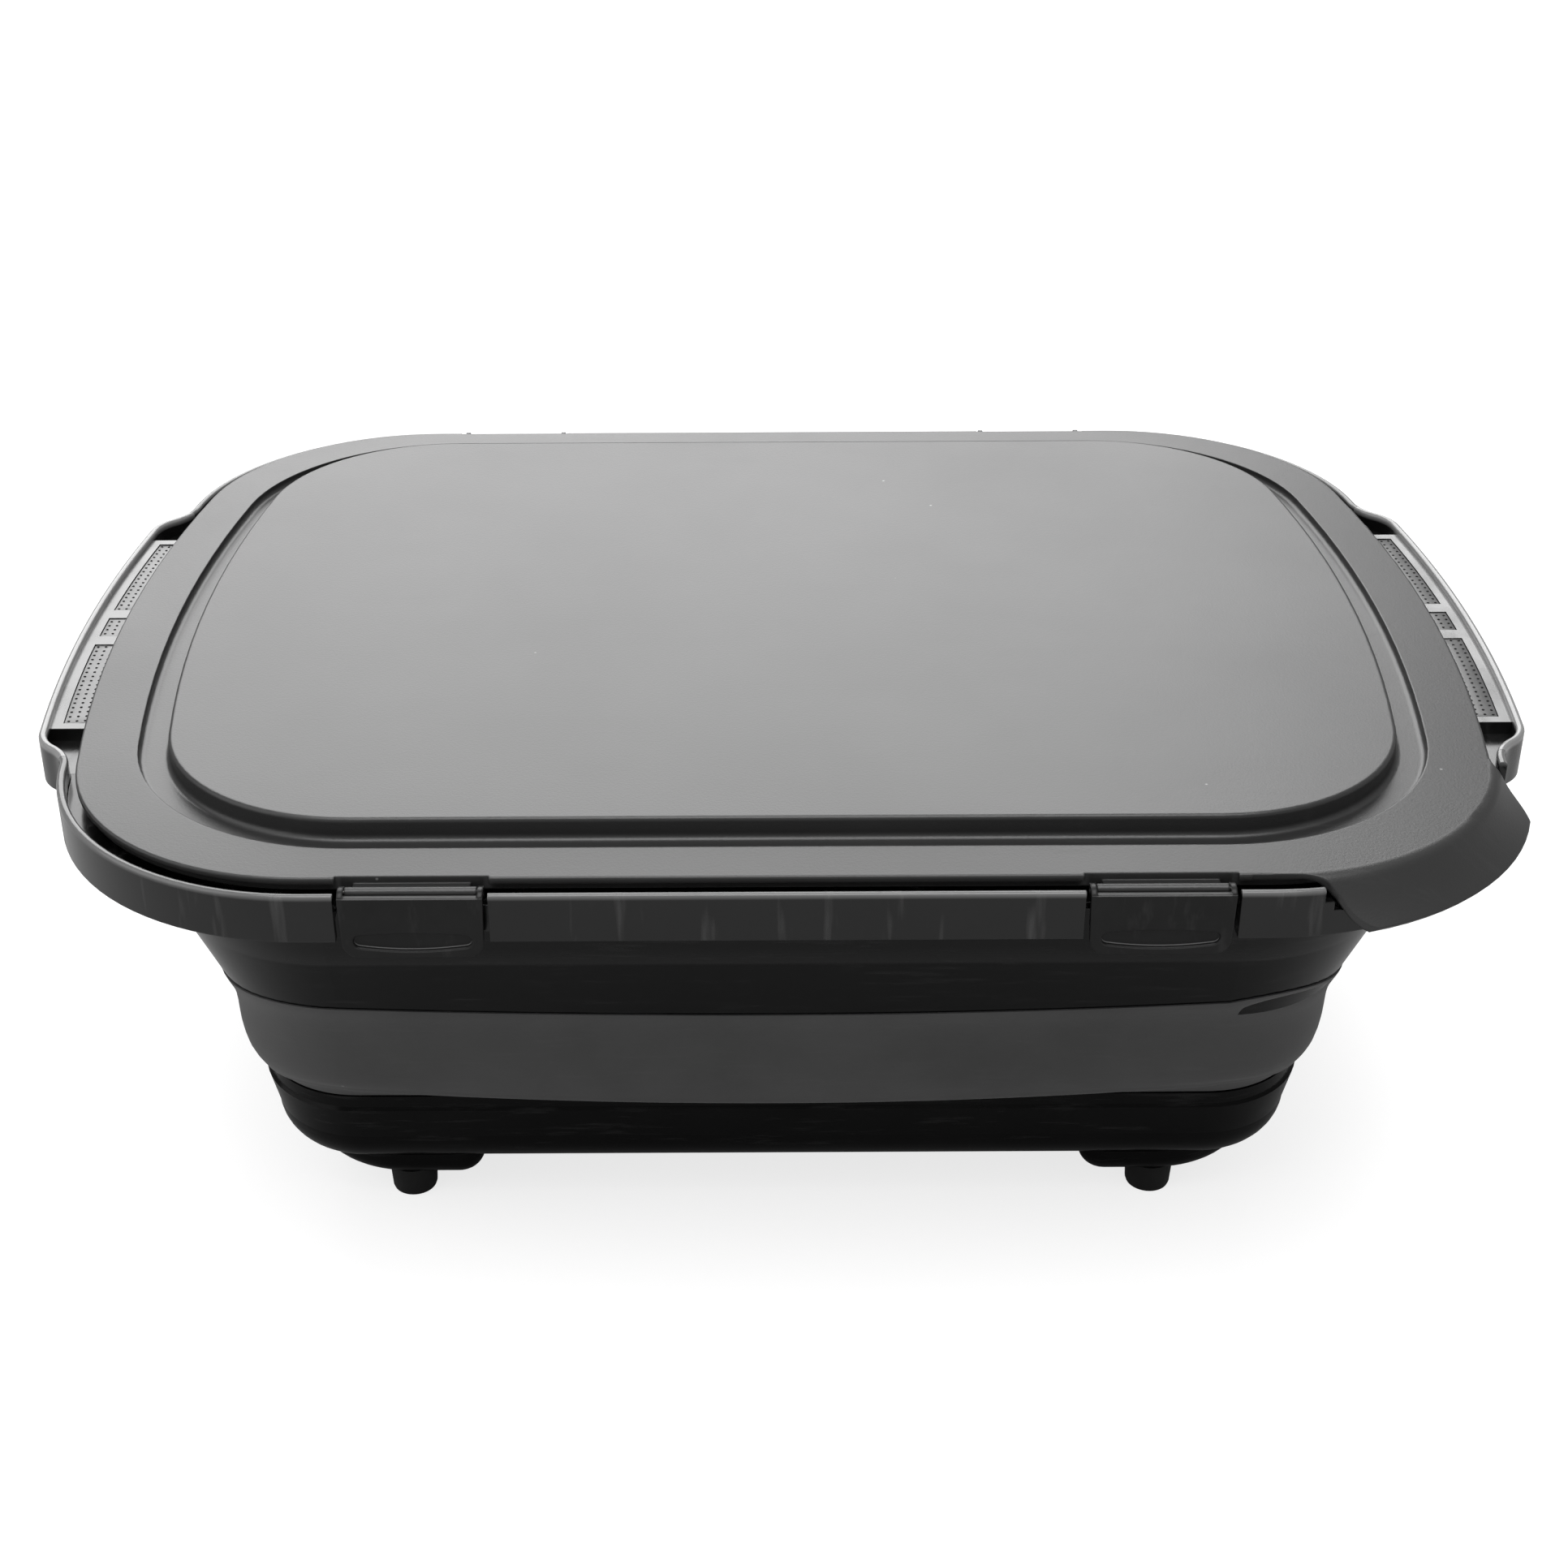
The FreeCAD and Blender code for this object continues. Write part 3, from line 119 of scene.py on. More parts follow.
def noise(tree: bpy.types.NodeTree, place: bpy.types.NodeSocket, scale: float, detail: float,
          roughness: float = 0.5) -> bpy.types.NodeSocket:
    """Add a noise pattern.

    Args:
        tree: The material's tree.
        place: The coordinates that it lies in.
        scale: Blotches to a unit of length.
        detail: How many finer layers it has.
        roughness: How strong the finer layers are.

    Returns:
        The pattern, from 0 to 1.
    """
    settings = {"Scale": scale, "Detail": detail, "Roughness": roughness}
    return add_node(tree, "ShaderNodeTexNoise", settings, {"Vector": place}).outputs["Fac"]


def ramp(tree: bpy.types.NodeTree, value: bpy.types.NodeSocket, given: tuple[float, float] = (0.0, 1.0),
         wanted: tuple[float, float] = (0.0, 1.0)) -> bpy.types.NodeSocket:
    """Map a value from one range to another, held at its ends.

    Args:
        tree: The material's tree.
        value: The value.
        given: The range that it comes in.
        wanted: The range that it leaves in.

    Returns:
        The mapped value.
    """
    ends = {"From Min": given[0], "From Max": given[1], "To Min": wanted[0], "To Max": wanted[1]}
    return add_node(tree, "ShaderNodeMapRange", ends, {"Value": value}).outputs["Result"]


def mix_colours(tree: bpy.types.NodeTree, share: bpy.types.NodeSocket, first: bpy.types.NodeSocket | str,
                second: str) -> bpy.types.NodeSocket:
    """Mix two colours.

    Args:
        tree: The material's tree.
        share: The second colour's share.
        first: The first colour, as a socket or as sRGB hex.
        second: The second colour, as sRGB hex.

    Returns:
        The mixed colour.
    """
    settings = {"data_type": "RGBA", MIX_SECOND: linear(second)}
    links = {MIX_SHARE: share}
    if isinstance(first, str):
        settings[MIX_FIRST] = linear(first)
    else:
        links[MIX_FIRST] = first
    return add_node(tree, "ShaderNodeMix", settings, links).outputs[MIX_COLOUR]


def empty_material(name: str) -> tuple[bpy.types.Material, bpy.types.NodeSocket]:
    """Start a node material.

    Args:
        name: The material's name.

    Returns:
        The material and the Object coordinates in its tree.
    """
    material = bpy.data.materials.new(name)
    material.use_nodes = True
    material.node_tree.nodes.clear()
    return material, add_node(material.node_tree, "ShaderNodeTexCoord").outputs["Object"]


@dataclass(frozen=True)
class Turn:
    """A bend of an outline in plan, in millimetres and degrees."""

    centre: tuple[float, float]
    degrees: float
    steps: int


@dataclass(frozen=True)
class Outline:
    """The lid's edge in plan, which every ring of the tub runs parallel to, in millimetres.

    Each end is an arc about a centre on the X axis, far on the other side of the tub's middle.
    """

    half_depth: float = 190.2
    corner_radius: float = 88.0
    end_radius: float = 720.0
    end_x: float = -474.7
    corner_steps: int = 18
    end_steps: int = 10

    def corner(self) -> tuple[float, float]:
        """Give the centre of the corner's bend, as its distances from the tub's middle."""
        y = self.half_depth - self.corner_radius
        return self.end_x + math.sqrt((self.end_radius - self.corner_radius) ** 2 - y ** 2), y

    def lean(self) -> float:
        """Give the angle round the end's centre, in radians, at which the end's arc meets the corner's."""
        return math.asin(self.corner()[1] / (self.end_radius - self.corner_radius))

    def bends(self) -> list[Turn]:
        """Give the bends from the front's straight run to the middle of the right-hand end."""
        x, y = self.corner()
        lean = math.degrees(self.lean())
        return [Turn((x, -y), 90 - lean, self.corner_steps), Turn((self.end_x, 0), lean, self.end_steps)]

    def beyond(self, place: Vector) -> tuple[float, Vector]:
        """Give where a place lies beyond the lid's edge.

        Args:
            place: The place, in millimetres.

        Returns:
            How far beyond the edge it lies, and the level direction that leads out of the tub there.
        """
        x, y = self.corner()
        if abs(place.x) <= x:
            return abs(place.y) - self.half_depth, Vector((0, math.copysign(1, place.y), 0))
        if math.atan2(abs(place.y), abs(place.x) - self.end_x) < self.lean():
            centre = Vector((math.copysign(self.end_x, -place.x), 0, 0))
            radius = self.end_radius
        else:
            centre = Vector((math.copysign(x, place.x), math.copysign(y, place.y), 0))
            radius = self.corner_radius
        spoke = Vector((place.x, place.y, 0)) - centre
        return spoke.length - radius, spoke.normalized()


OUTLINE = Outline()


class RingSweep:
    """A closed ring that leads one section round the tub, parallel to the lid's edge."""

    ROUND_STEPS = 4
    MIRROR_GAP = 0.01

    def __init__(self, section: list[SectionPoint]) -> None:
        """Draw the section at the middle of the front, lead it round a quarter and mirror that.

        Args:
            section: The section's corners, in order round it.
        """
        self.bm = bmesh.new()
        self._lead(self._draw(section))
        for axis in "XY":
            every = self.bm.verts[:] + self.bm.edges[:] + self.bm.faces[:]
            bmesh.ops.mirror(self.bm, geom=every, matrix=Matrix.Identity(4), merge_dist=self.MIRROR_GAP,
                             axis=axis)

    def _draw(self, section: list[SectionPoint]) -> list[bmesh.types.BMEdge]:
        """Draw the closed section as wire and round its corners.

        Args:
            section: The section's corners.

        Returns:
            The wire's edges.
        """
        corners = [self.bm.verts.new((0, -(OUTLINE.half_depth + out), level)) for out, level, _ in section]
        for first, second in zip(corners, corners[1:] + corners[:1]):
            self.bm.edges.new((first, second))
        for corner, (_, _, rounding) in zip(corners, section):
            if rounding:
                bmesh.ops.bevel(self.bm, geom=[corner], offset=rounding, affect="VERTICES",
                                segments=self.ROUND_STEPS, profile=0.5, material=-1)
        return self.bm.edges[:]

    def _lead(self, edges: list[bmesh.types.BMEdge]) -> None:
        """Lead the wire along the front and round the bends.

        Args:
            edges: The wire's edges.
        """
        moved = bmesh.ops.extrude_edge_only(self.bm, edges=edges)["geom"]
        ends = [item for item in moved if isinstance(item, bmesh.types.BMVert)]
        bmesh.ops.translate(self.bm, vec=(OUTLINE.corner()[0], 0, 0), verts=ends)
        reached = set(ends)
        geometry = ends + [edge for edge in self.bm.edges if set(edge.verts) <= reached]
        for bend in OUTLINE.bends():
            geometry = bmesh.ops.spin(
                self.bm, geom=geometry, cent=(bend.centre[0], bend.centre[1], 0), axis=(0, 0, 1),
                dvec=(0, 0, 0), angle=math.radians(bend.degrees), steps=bend.steps, use_merge=False,
                use_normal_flip=False, use_duplicate=False)["geom_last"]


def finish_mesh(bm: bmesh.types.BMesh, name: str, finish: bpy.types.Material,
                sharp: float = 40.0) -> bpy.types.Object:
    """Turn a bmesh drawn in millimetres into a finished piece in metres.

    Args:
        bm: The shape, which is used up.
        name: The piece's name.
        finish: The piece's material.
        sharp: The angle in degrees from which an edge stays sharp.

    Returns:
        The piece, at the origin, with its place in its mesh.
    """
    bmesh.ops.remove_doubles(bm, verts=bm.verts[:], dist=MERGE)
    bmesh.ops.recalc_face_normals(bm, faces=bm.faces[:])
    bmesh.ops.scale(bm, vec=(MM, MM, MM), verts=bm.verts[:])
    mesh = bpy.data.meshes.new(name)
    bm.to_mesh(mesh)
    bm.free()
    mesh.shade_smooth()
    mesh.set_sharp_from_angle(angle=math.radians(sharp))
    mesh.materials.append(finish)
    piece = bpy.data.objects.new(name, mesh)
    bpy.context.scene.collection.objects.link(piece)
    return piece


@dataclass(frozen=True)
class MouldedFinish:
    """A moulded plastic or rubber, with the marks that its mould and its use leave on it, and on some
    finishes painted light: painted highlights, a painted reflection and painted shade.

    Colours are sRGB hex, lengths and levels are millimetres, and shares run from 0 to 1.
    """

    name: str
    dark: str
    light: str
    smooth: float
    rough: float
    specular: float = 0.5
    sheen: float = 0.0
    blotch: float = 40.0
    blotch_contrast: tuple[float, float] = (0.32, 0.68)
    grain: float = 0.7
    grain_depth: float = 0.02
    wave_depth: float = 0.0
    wave_length: float = 28.0
    scuff: float = 0.0
    scuff_length: tuple[float, float, float] = (30.0, 30.0, 3.0)
    scuff_contrast: tuple[float, float] = (0.56, 0.78)
    speck_share: float = 0.0
    speck_pitch: float = 9.0
    # From the edge of a speck to its full colour, in shares of the pitch.
    speck_size: tuple[float, float] = (0.075, 0.03)
    # The pale colour of rubs and specks, and of the painted edge highlights.
    pale: str = "8c8c8c"
    painted_light_level: float = 0.0
    painted_light_colour: str = "343434"
    painted_light_height: float = 9.0
    painted_light_top: float = 0.3
    # From where the painted light band starts to its full colour, beside its level.
    painted_light_edge: tuple[float, float] = (-0.8, 0.5)
    edge_round: float = 0.0
    edge_highlight: float = 0.0
    # How far an edge has to round upward before it shows the painted highlight, and until that highlight is
    # full.
    edge_rise: tuple[float, float] = (0.12, 0.5)
    edge_samples: int = 8

    def material(self) -> bpy.types.Material:
        """Build the node material.

        Returns:
            The material, whose patterns lie in Object coordinates.
        """
        material, place = empty_material(self.name)
        tree = material.node_tree
        blotches = noise(tree, place, 1 / (self.blotch * MM), detail=4.0, roughness=0.6)
        spread = ramp(tree, blotches, self.blotch_contrast)
        colour = mix_colours(tree, spread, self.dark, self.light)
        gloss = ramp(tree, spread, wanted=(self.smooth, self.rough))
        # Painted light: a pale band of colour above a level, a painted highlight on lips and a painted
        # reflection on the wall.
        if self.painted_light_level:
            colour = self._painted_light_band(tree, place, colour)
        if self.scuff:
            colour, gloss = self._scuffed(tree, place, colour, gloss)
        # Painted highlight on the edges that round upward, where light from above catches them.
        if self.edge_highlight:
            colour = self._highlight_edges(tree, colour)
        if self.speck_share:
            colour = self._specked(tree, place, colour)
        shader = add_node(tree, "ShaderNodeBsdfPrincipled",
                          {"Specular IOR Level": self.specular, "IOR": 1.5, "Sheen Weight": self.sheen,
                           "Sheen Roughness": 0.5},
                          {"Base Color": colour, "Roughness": gloss, "Normal": self._relief(tree, place)})
        add_node(tree, "ShaderNodeOutputMaterial", links={"Surface": shader.outputs["BSDF"]})
        return material

    def _relief(self, tree: bpy.types.NodeTree, place: bpy.types.NodeSocket) -> bpy.types.NodeSocket:
        """Add softly rounded edges, the mould's grain and the slow waves of a large thin moulding.

        Args:
            tree: The material's tree.
            place: The Object coordinates.

        Returns:
            The bumped normal.
        """
        feeds = {"Height": noise(tree, place, 1 / (self.grain * MM), detail=2.0, roughness=0.55)}
        if self.edge_round:
            feeds["Normal"] = self._rounded(tree)
        bump = add_node(tree, "ShaderNodeBump", {"Strength": 1.0, "Distance": self.grain_depth * MM}, feeds)
        if self.wave_depth:
            slow = noise(tree, place, 1 / (self.wave_length * MM), detail=1.0)
            bump = add_node(tree, "ShaderNodeBump", {"Strength": 1.0, "Distance": self.wave_depth * MM},
                            {"Height": slow, "Normal": bump.outputs["Normal"]})
        return bump.outputs["Normal"]

    def _rounded(self, tree: bpy.types.NodeTree) -> bpy.types.NodeSocket:
        """Add the normal of a shape whose edges are softly rounded."""
        settings = {"samples": self.edge_samples, "Radius": self.edge_round * MM}
        return add_node(tree, "ShaderNodeBevel", settings).outputs["Normal"]

    def _painted_light_band(self, tree: bpy.types.NodeTree, place: bpy.types.NodeSocket,
                 colour: bpy.types.NodeSocket) -> bpy.types.NodeSocket:
        """Add a painted band of light above a level, brightest along its lower edge: a painted highlight on
        the lips of the rim and handles, and a painted reflection on the wall.
            colour: The colour so far.

        Returns:
            The colour with the bloom.
        """
        height = add_node(tree, "ShaderNodeSeparateXYZ", links={"Vector": place}).outputs["Z"]
        level = self.painted_light_level * MM
        fading = ramp(tree, height, (level, level + self.painted_light_height * MM), (1.0, self.painted_light_top))
        start, full = (level + step * MM for step in self.painted_light_edge)
        above = ramp(tree, height, (start, full))
        share = add_node(tree, "ShaderNodeMath", {"operation": "MULTIPLY"}, {0: fading, 1: above})
        return mix_colours(tree, share.outputs["Value"], colour, self.painted_light_colour)

    def _scuffed(self, tree: bpy.types.NodeTree, place: bpy.types.NodeSocket, colour: bpy.types.NodeSocket,
                 gloss: bpy.types.NodeSocket) -> tuple[bpy.types.NodeSocket, bpy.types.NodeSocket]:
        """Add long faint rubs that are paler and duller than the rest.

        Args:
            tree: The material's tree.
            place: The Object coordinates.
            colour: The colour so far.
            gloss: The roughness so far.

        Returns:
            The colour and the roughness with the rubs.
        """
        stretch = tuple(1 / (length * MM) for length in self.scuff_length)
        drawn = add_node(tree, "ShaderNodeMapping", {"Scale": stretch}, {"Vector": place}).outputs["Vector"]
        streaks = noise(tree, drawn, 1.0, detail=3.0, roughness=0.7)
        rubs = ramp(tree, streaks, self.scuff_contrast, (0.0, self.scuff))
        duller = add_node(tree, "ShaderNodeMath", {"operation": "ADD", "use_clamp": True},
                          {0: gloss, 1: rubs})
        return mix_colours(tree, rubs, colour, self.pale), duller.outputs["Value"]

    def _highlight_edges(self, tree: bpy.types.NodeTree, colour: bpy.types.NodeSocket) -> bpy.types.NodeSocket:
        """Paint highlights on the edges that round upward, where light from above catches them.

        Args:
            tree: The material's tree.
            colour: The colour so far.

        Returns:
            The colour with the rubbed edges.
        """
        plain = add_node(tree, "ShaderNodeNewGeometry").outputs["Normal"]
        change = add_node(tree, "ShaderNodeVectorMath", {"operation": "SUBTRACT"},
                          {0: self._rounded(tree), 1: plain}).outputs["Vector"]
        own = add_node(tree, "ShaderNodeVectorTransform",
                       {"vector_type": "VECTOR", "convert_from": "WORLD", "convert_to": "OBJECT"},
                       {"Vector": change}).outputs["Vector"]
        upward = add_node(tree, "ShaderNodeSeparateXYZ", links={"Vector": own}).outputs["Z"]
        return mix_colours(tree, ramp(tree, upward, self.edge_rise, (0.0, self.edge_highlight)), colour, self.pale)

    def _specked(self, tree: bpy.types.NodeTree, place: bpy.types.NodeSocket,
                 colour: bpy.types.NodeSocket) -> bpy.types.NodeSocket:
        """Add a few small pale specks of dust.

        Args:
            tree: The material's tree.
            place: The Object coordinates.
            colour: The colour so far.

        Returns:
            The colour with the specks.
        """
        cells = add_node(tree, "ShaderNodeTexVoronoi", {"Scale": 1 / (self.speck_pitch * MM)},
                         {"Vector": place})
        chosen = add_node(tree, "ShaderNodeMath", {"operation": "LESS_THAN", 1: self.speck_share},
                          {0: cells.outputs["Color"]}).outputs["Value"]
        dots = ramp(tree, cells.outputs["Distance"], self.speck_size)
        specks = add_node(tree, "ShaderNodeMath", {"operation": "MULTIPLY"}, {0: chosen, 1: dots})
        return mix_colours(tree, specks.outputs["Value"], colour, self.pale)


# Polypropylene from a spark-eroded mould: a dull charcoal skin with a fine even grain that turns grey where
# it catches the light. The grain is about 0.2 mm on the real lid, and coarser here so that it shows.
LID_PLASTIC = MouldedFinish(
    "lid_grained_polypropylene", "272727", "2b2b2b", 0.37, 0.40, specular=0.7, blotch=110, grain=0.8,
    grain_depth=0.05, scuff=0.03, scuff_length=(50, 4, 20), speck_share=0.10, edge_round=0.8)
# Polypropylene from a polished mould: deep gloss black with short upright rubs from handling, and a painted
# highlight along the lip: a pale band above the lip's level.
RIM_PLASTIC = MouldedFinish(
    "rim_polished_polypropylene", "0a0a0a", "101010", 0.12, 0.22, specular=0.55, blotch=30, grain=1.5,
    grain_depth=0.004, wave_depth=0.05, scuff=0.26, scuff_length=(9, 9, 90), speck_share=0.05,
    painted_light_level=173.4, painted_light_colour="6a6a6a", edge_round=0.6)
# The handles, moulded with the rim: worn to a brighter gloss by hands, with a painted highlight along the top
# of the lip.
HANDLE_PLASTIC = MouldedFinish(
    "handle_polished_polypropylene", "101010", "181818", 0.16, 0.28, specular=1.0, blotch=18, grain=1.5,
    grain_depth=0.004, wave_depth=0.05, scuff=0.12, scuff_length=(6, 30, 20), speck_share=0.05,
    painted_light_level=172.6, painted_light_colour="8c8c8c")
# The same polypropylene on the sloping wall below the rim: almost black, glossy enough to mirror the rim, and
# with a painted reflection of the rim's skirt high up, under the skirt: a paler band, brightest at its lower
# edge.
WALL_PLASTIC = MouldedFinish(
    "wall_polished_polypropylene", "070707", "0b0b0b", 0.08, 0.16, specular=0.16, blotch=45, grain=1.5,
    grain_depth=0.002, wave_depth=0.04, scuff=0.05, speck_share=0.04, painted_light_level=127.5,
    painted_light_colour="242424")
# Polypropylene of the bottom pan: black with a soft gloss.
BASE_PLASTIC = MouldedFinish(
    "pan_glossy_polypropylene", "070707", "0c0c0c", 0.12, 0.22, specular=0.12, blotch=35, grain=1.2,
    grain_depth=0.005, wave_depth=0.04, scuff=0.06, speck_share=0.06)
# Polypropylene of the latches: black and satin, with painted highlights along the edges that round upward,
# where light from above catches them.
LATCH_PLASTIC = MouldedFinish(
    "latch_satin_polypropylene", "121212", "191919", 0.30, 0.40, specular=0.3, blotch=12, grain=0.9,
    grain_depth=0.006, scuff=0.06, scuff_length=(6, 6, 20), speck_share=0.05, edge_round=0.9,
    edge_highlight=0.8)
# Thermoplastic rubber of the folding wall: a dull, slightly dusty dark grey with a fine even skin.
BAND_RUBBER = MouldedFinish(
    "band_soft_thermoplastic_rubber", "434343", "4f4f4f", 0.60, 0.76, specular=0.4, sheen=0.15, blotch=60,
    grain=0.9, grain_depth=0.03, scuff=0.05, speck_share=0.10)
# The softer rubber of the grips: grey, with a soft shine between the dots.
GRIP_RUBBER = MouldedFinish(
    "grip_soft_thermoplastic_rubber", "3a3a3a", "484848", 0.30, 0.38, specular=1.0, sheen=0.1, blotch=10,
    grain=0.8, grain_depth=0.01)
# The dots on the grips: the same rubber and duller, painted much darker than the grip as painted shade in and
# round the dots.
GRIP_DOTS_PAINTED_SHADE = MouldedFinish(
    "grip_dots_thermoplastic_rubber", "101010", "181818", 0.7, 0.85, specular=0.1, blotch=6, grain=0.8,
    grain_depth=0.01)
# Rubber of the feet: dull black.
FOOT_RUBBER = MouldedFinish(
    "foot_moulded_rubber", "0b0b0b", "141414", 0.45, 0.6, specular=0.4, sheen=0.05, blotch=8, grain=0.7,
    grain_depth=0.012)
# Rubber of the seal under the lid: dull, a little greyer.
SEAL_RUBBER = MouldedFinish(
    "seal_soft_thermoplastic_rubber", "242424", "2e2e2e", 0.55, 0.7, sheen=0.1, blotch=20, grain=0.8,
    grain_depth=0.01)


@dataclass(frozen=True)
class DrawnSteel:
    """Bright drawn steel wire, with fine lines along its length, in millimetres."""

    name: str = "pin_drawn_steel"
    dark: str = "9a9a98"
    light: str = "c8c7c4"
    smooth: float = 0.2
    rough: float = 0.4
    line: float = 0.25
    line_length: float = 250.0

    def material(self) -> bpy.types.Material:
        """Build the node material.

        Returns:
            The material.
        """
        material, place = empty_material(self.name)
        tree = material.node_tree
        scale = (1 / (self.line_length * MM), 1 / (self.line * MM), 1 / (self.line * MM))
        drawn = add_node(tree, "ShaderNodeMapping", {"Scale": scale}, {"Vector": place}).outputs["Vector"]
        lines = noise(tree, drawn, 1.0, detail=2.0)
        colour = mix_colours(tree, lines, self.dark, self.light)
        gloss = ramp(tree, lines, wanted=(self.smooth, self.rough))
        shader = add_node(tree, "ShaderNodeBsdfPrincipled", {"Metallic": 1.0},
                          {"Base Color": colour, "Roughness": gloss})
        add_node(tree, "ShaderNodeOutputMaterial", links={"Surface": shader.outputs["BSDF"]})
        return material


def dress(nodes: list[str], finish: bpy.types.Material) -> None:
    """Give CAD nodes that keep their own shape a finished material.

    Args:
        nodes: The nodes' names.
        finish: The material.
    """
    for name in nodes:
        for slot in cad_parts[name].material_slots:
            slot.material = finish
        LOG.info("%s keeps its shape and takes %s", name, finish.name)


def stand_for(piece: bpy.types.Object, nodes: list[str]) -> None:
    """Let a new piece stand for its CAD nodes.

    Args:
        piece: The new piece.
        nodes: The CAD nodes that it stands for.
    """
    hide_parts(*nodes)
    LOG.info("%s stands for %s", piece.name, ", ".join(nodes))


@dataclass
class Lid:
    """The cutting-board lid, with its seal and latches."""

    # The seal's section from its root up: a flat back on the plug wall and two soft lips.
    seal: tuple[SectionPoint, ...] = (
        (-18.0, 165.0, 0), (-18.0, 171.0, 0.3), (-15.1, 169.6, 0.4), (-15.2, 169.0, 0.3),
        (-16.9, 168.4, 0.3), (-15.3, 167.0, 0.4), (-15.4, 166.5, 0.3), (-17.0, 165.0, 0.2))

    def build(self) -> None:
        """Dress the lid and its latches, and make the seal."""
        dress(["lid_board"], LID_PLASTIC.material())
        latch = LATCH_PLASTIC.material()
        steel = DrawnSteel().material()
        for side in Side:
            for hand in Hand:
                where = f"{side.name.lower()}_{hand.name.lower()}"
                dress([f"latch_{where}"], latch)
                dress([f"latch_pin_{where}"], steel)
        piece = finish_mesh(RingSweep(list(self.seal)).bm, "lid_seal", SEAL_RUBBER.material())
        stand_for(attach(piece, "lid"), ["lid_gasket"])


@dataclass
class Rim:
    """The stiff rim with its handles, and the wall under it."""

    runs: tuple[str, ...] = ("rim_front", "rim_rear")
    handles: tuple[str, ...] = ("handle_left", "handle_right")

    def build(self) -> None:
        """Dress the rim, the handles and the wall."""
        dress(list(self.runs), RIM_PLASTIC.material())
        dress(list(self.handles), HANDLE_PLASTIC.material())
        dress(["tub_wall"], WALL_PLASTIC.material())


@dataclass
class Grips:
    """The dotted soft inlays of the handles, in millimetres."""

    shelf_top: float = 172.2
    depth: float = 1.0
    thick: float = 0.7
    inner: float = -4.85
    outer: float = 9.05
    spans: dict[str, tuple[float, float]] = field(default_factory=lambda: {
        "front": (-77.85, -15.15), "middle": (-7.85, 7.85), "rear": (15.15, 77.85)})
    bow_steps: int = 12
    rim_round: float = 0.25
    rim_steps: int = 2
    # Edges of the top that turn by more than this, in radians, are its rim.
    rim_angle: float = 0.7
    dot_radius: float = 0.6
    dot_height: float = 0.35
    dot_sink: float = 0.05
    dot_shade_slot: int = 1
    # Bare border round the dots, and the first row's distance from the outer edge.
    border: float = 1.5
    first_row: float = 1.4
    pitch_along: float = 3.5
    pitch_across: float = 2.85

    def build(self) -> None:
        """Make the six inlays."""
        rubber, dots = GRIP_RUBBER.material(), GRIP_DOTS_PAINTED_SHADE.material()
        for hand in Hand:
            for place, span in self.spans.items():
                name = f"grip_{hand.name.lower()}_{place}"
                piece = self._inlay(f"{name}_inlay", hand, span, rubber)
                piece.data.materials.append(dots)
                stand_for(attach(piece, "frame"), [name])

    def _inlay(self, name: str, hand: Hand, span: tuple[float, float],
               rubber: bpy.types.Material) -> bpy.types.Object:
        """Make one inlay: a thin bowed plate with rows of dots.

        Args:
            name: The piece's name.
            hand: The handle that it lies in.
            span: Its ends along the handle.
            rubber: Its material.

        Returns:
            The piece.
        """
        bm = bmesh.new()
        foot = self.shelf_top - self.depth
        top = foot + self.thick
        near, far = (self._lean(end) for end in span)
        section = ((self.inner, foot), (self.outer, foot), (self.outer, top), (self.inner, top))
        first = [bm.verts.new(self._spot(near, out, level)) for out, level in section]
        face = bm.faces.new(first)
        bmesh.ops.spin(bm, geom=[face] + face.edges[:] + first, cent=(OUTLINE.end_x, 0, 0), axis=(0, 0, 1),
                       dvec=(0, 0, 0), angle=far - near, steps=self.bow_steps, use_merge=False,
                       use_normal_flip=False, use_duplicate=False)
        bmesh.ops.recalc_face_normals(bm, faces=bm.faces[:])
        rims = [edge for edge in bm.edges if all(abs(vert.co.z - top) < MERGE for vert in edge.verts)
                and edge.calc_face_angle(0) > self.rim_angle]
        bmesh.ops.bevel(bm, geom=rims, offset=self.rim_round, affect="EDGES", segments=self.rim_steps,
                        profile=0.5, material=-1)
        self._dots(bm, span, top)
        if hand is Hand.LEFT:
            bmesh.ops.scale(bm, vec=(-1, 1, 1), verts=bm.verts[:])
        return finish_mesh(bm, name, rubber)

    def _dots(self, bm: bmesh.types.BMesh, span: tuple[float, float], top: float) -> None:
        """Set rows of low round dots on an inlay.

        Args:
            bm: The inlay.
            span: Its ends along the handle.
            top: The level that the dots stand on.
        """
        across = int((self.outer - self.inner - 2 * self.border) / self.pitch_across) + 1
        along = int((span[1] - span[0] - 2 * self.border) / self.pitch_along) + 1
        flat = Matrix.Diagonal((1, 1, self.dot_height / self.dot_radius, 1))
        for row in range(across):
            out = self.outer - self.first_row - row * self.pitch_across
            for step in range(along):
                y = (span[0] + span[1]) / 2 + (step - (along - 1) / 2) * self.pitch_along
                spot = Matrix.Translation(self._spot(self._lean(y), out, top - self.dot_sink))
                dot = bmesh.ops.create_icosphere(bm, subdivisions=1, radius=self.dot_radius,
                                                 matrix=spot @ flat)
                # These faces take the dots' finish, which is painted shade.
                for face in {face for vert in dot["verts"] for face in vert.link_faces}:
                    face.material_index = self.dot_shade_slot

    def _lean(self, y: float) -> float:
        """Give the angle round the end's own centre for a place along the handle."""
        return math.asin(y / (OUTLINE.end_radius + self.outer))

    def _spot(self, lean: float, out: float, level: float) -> Vector:
        """Give the point at an angle round the end's centre, beyond the lid's edge, at a level."""
        radius = OUTLINE.end_radius + out
        return Vector((OUTLINE.end_x + radius * math.cos(lean), radius * math.sin(lean), level))


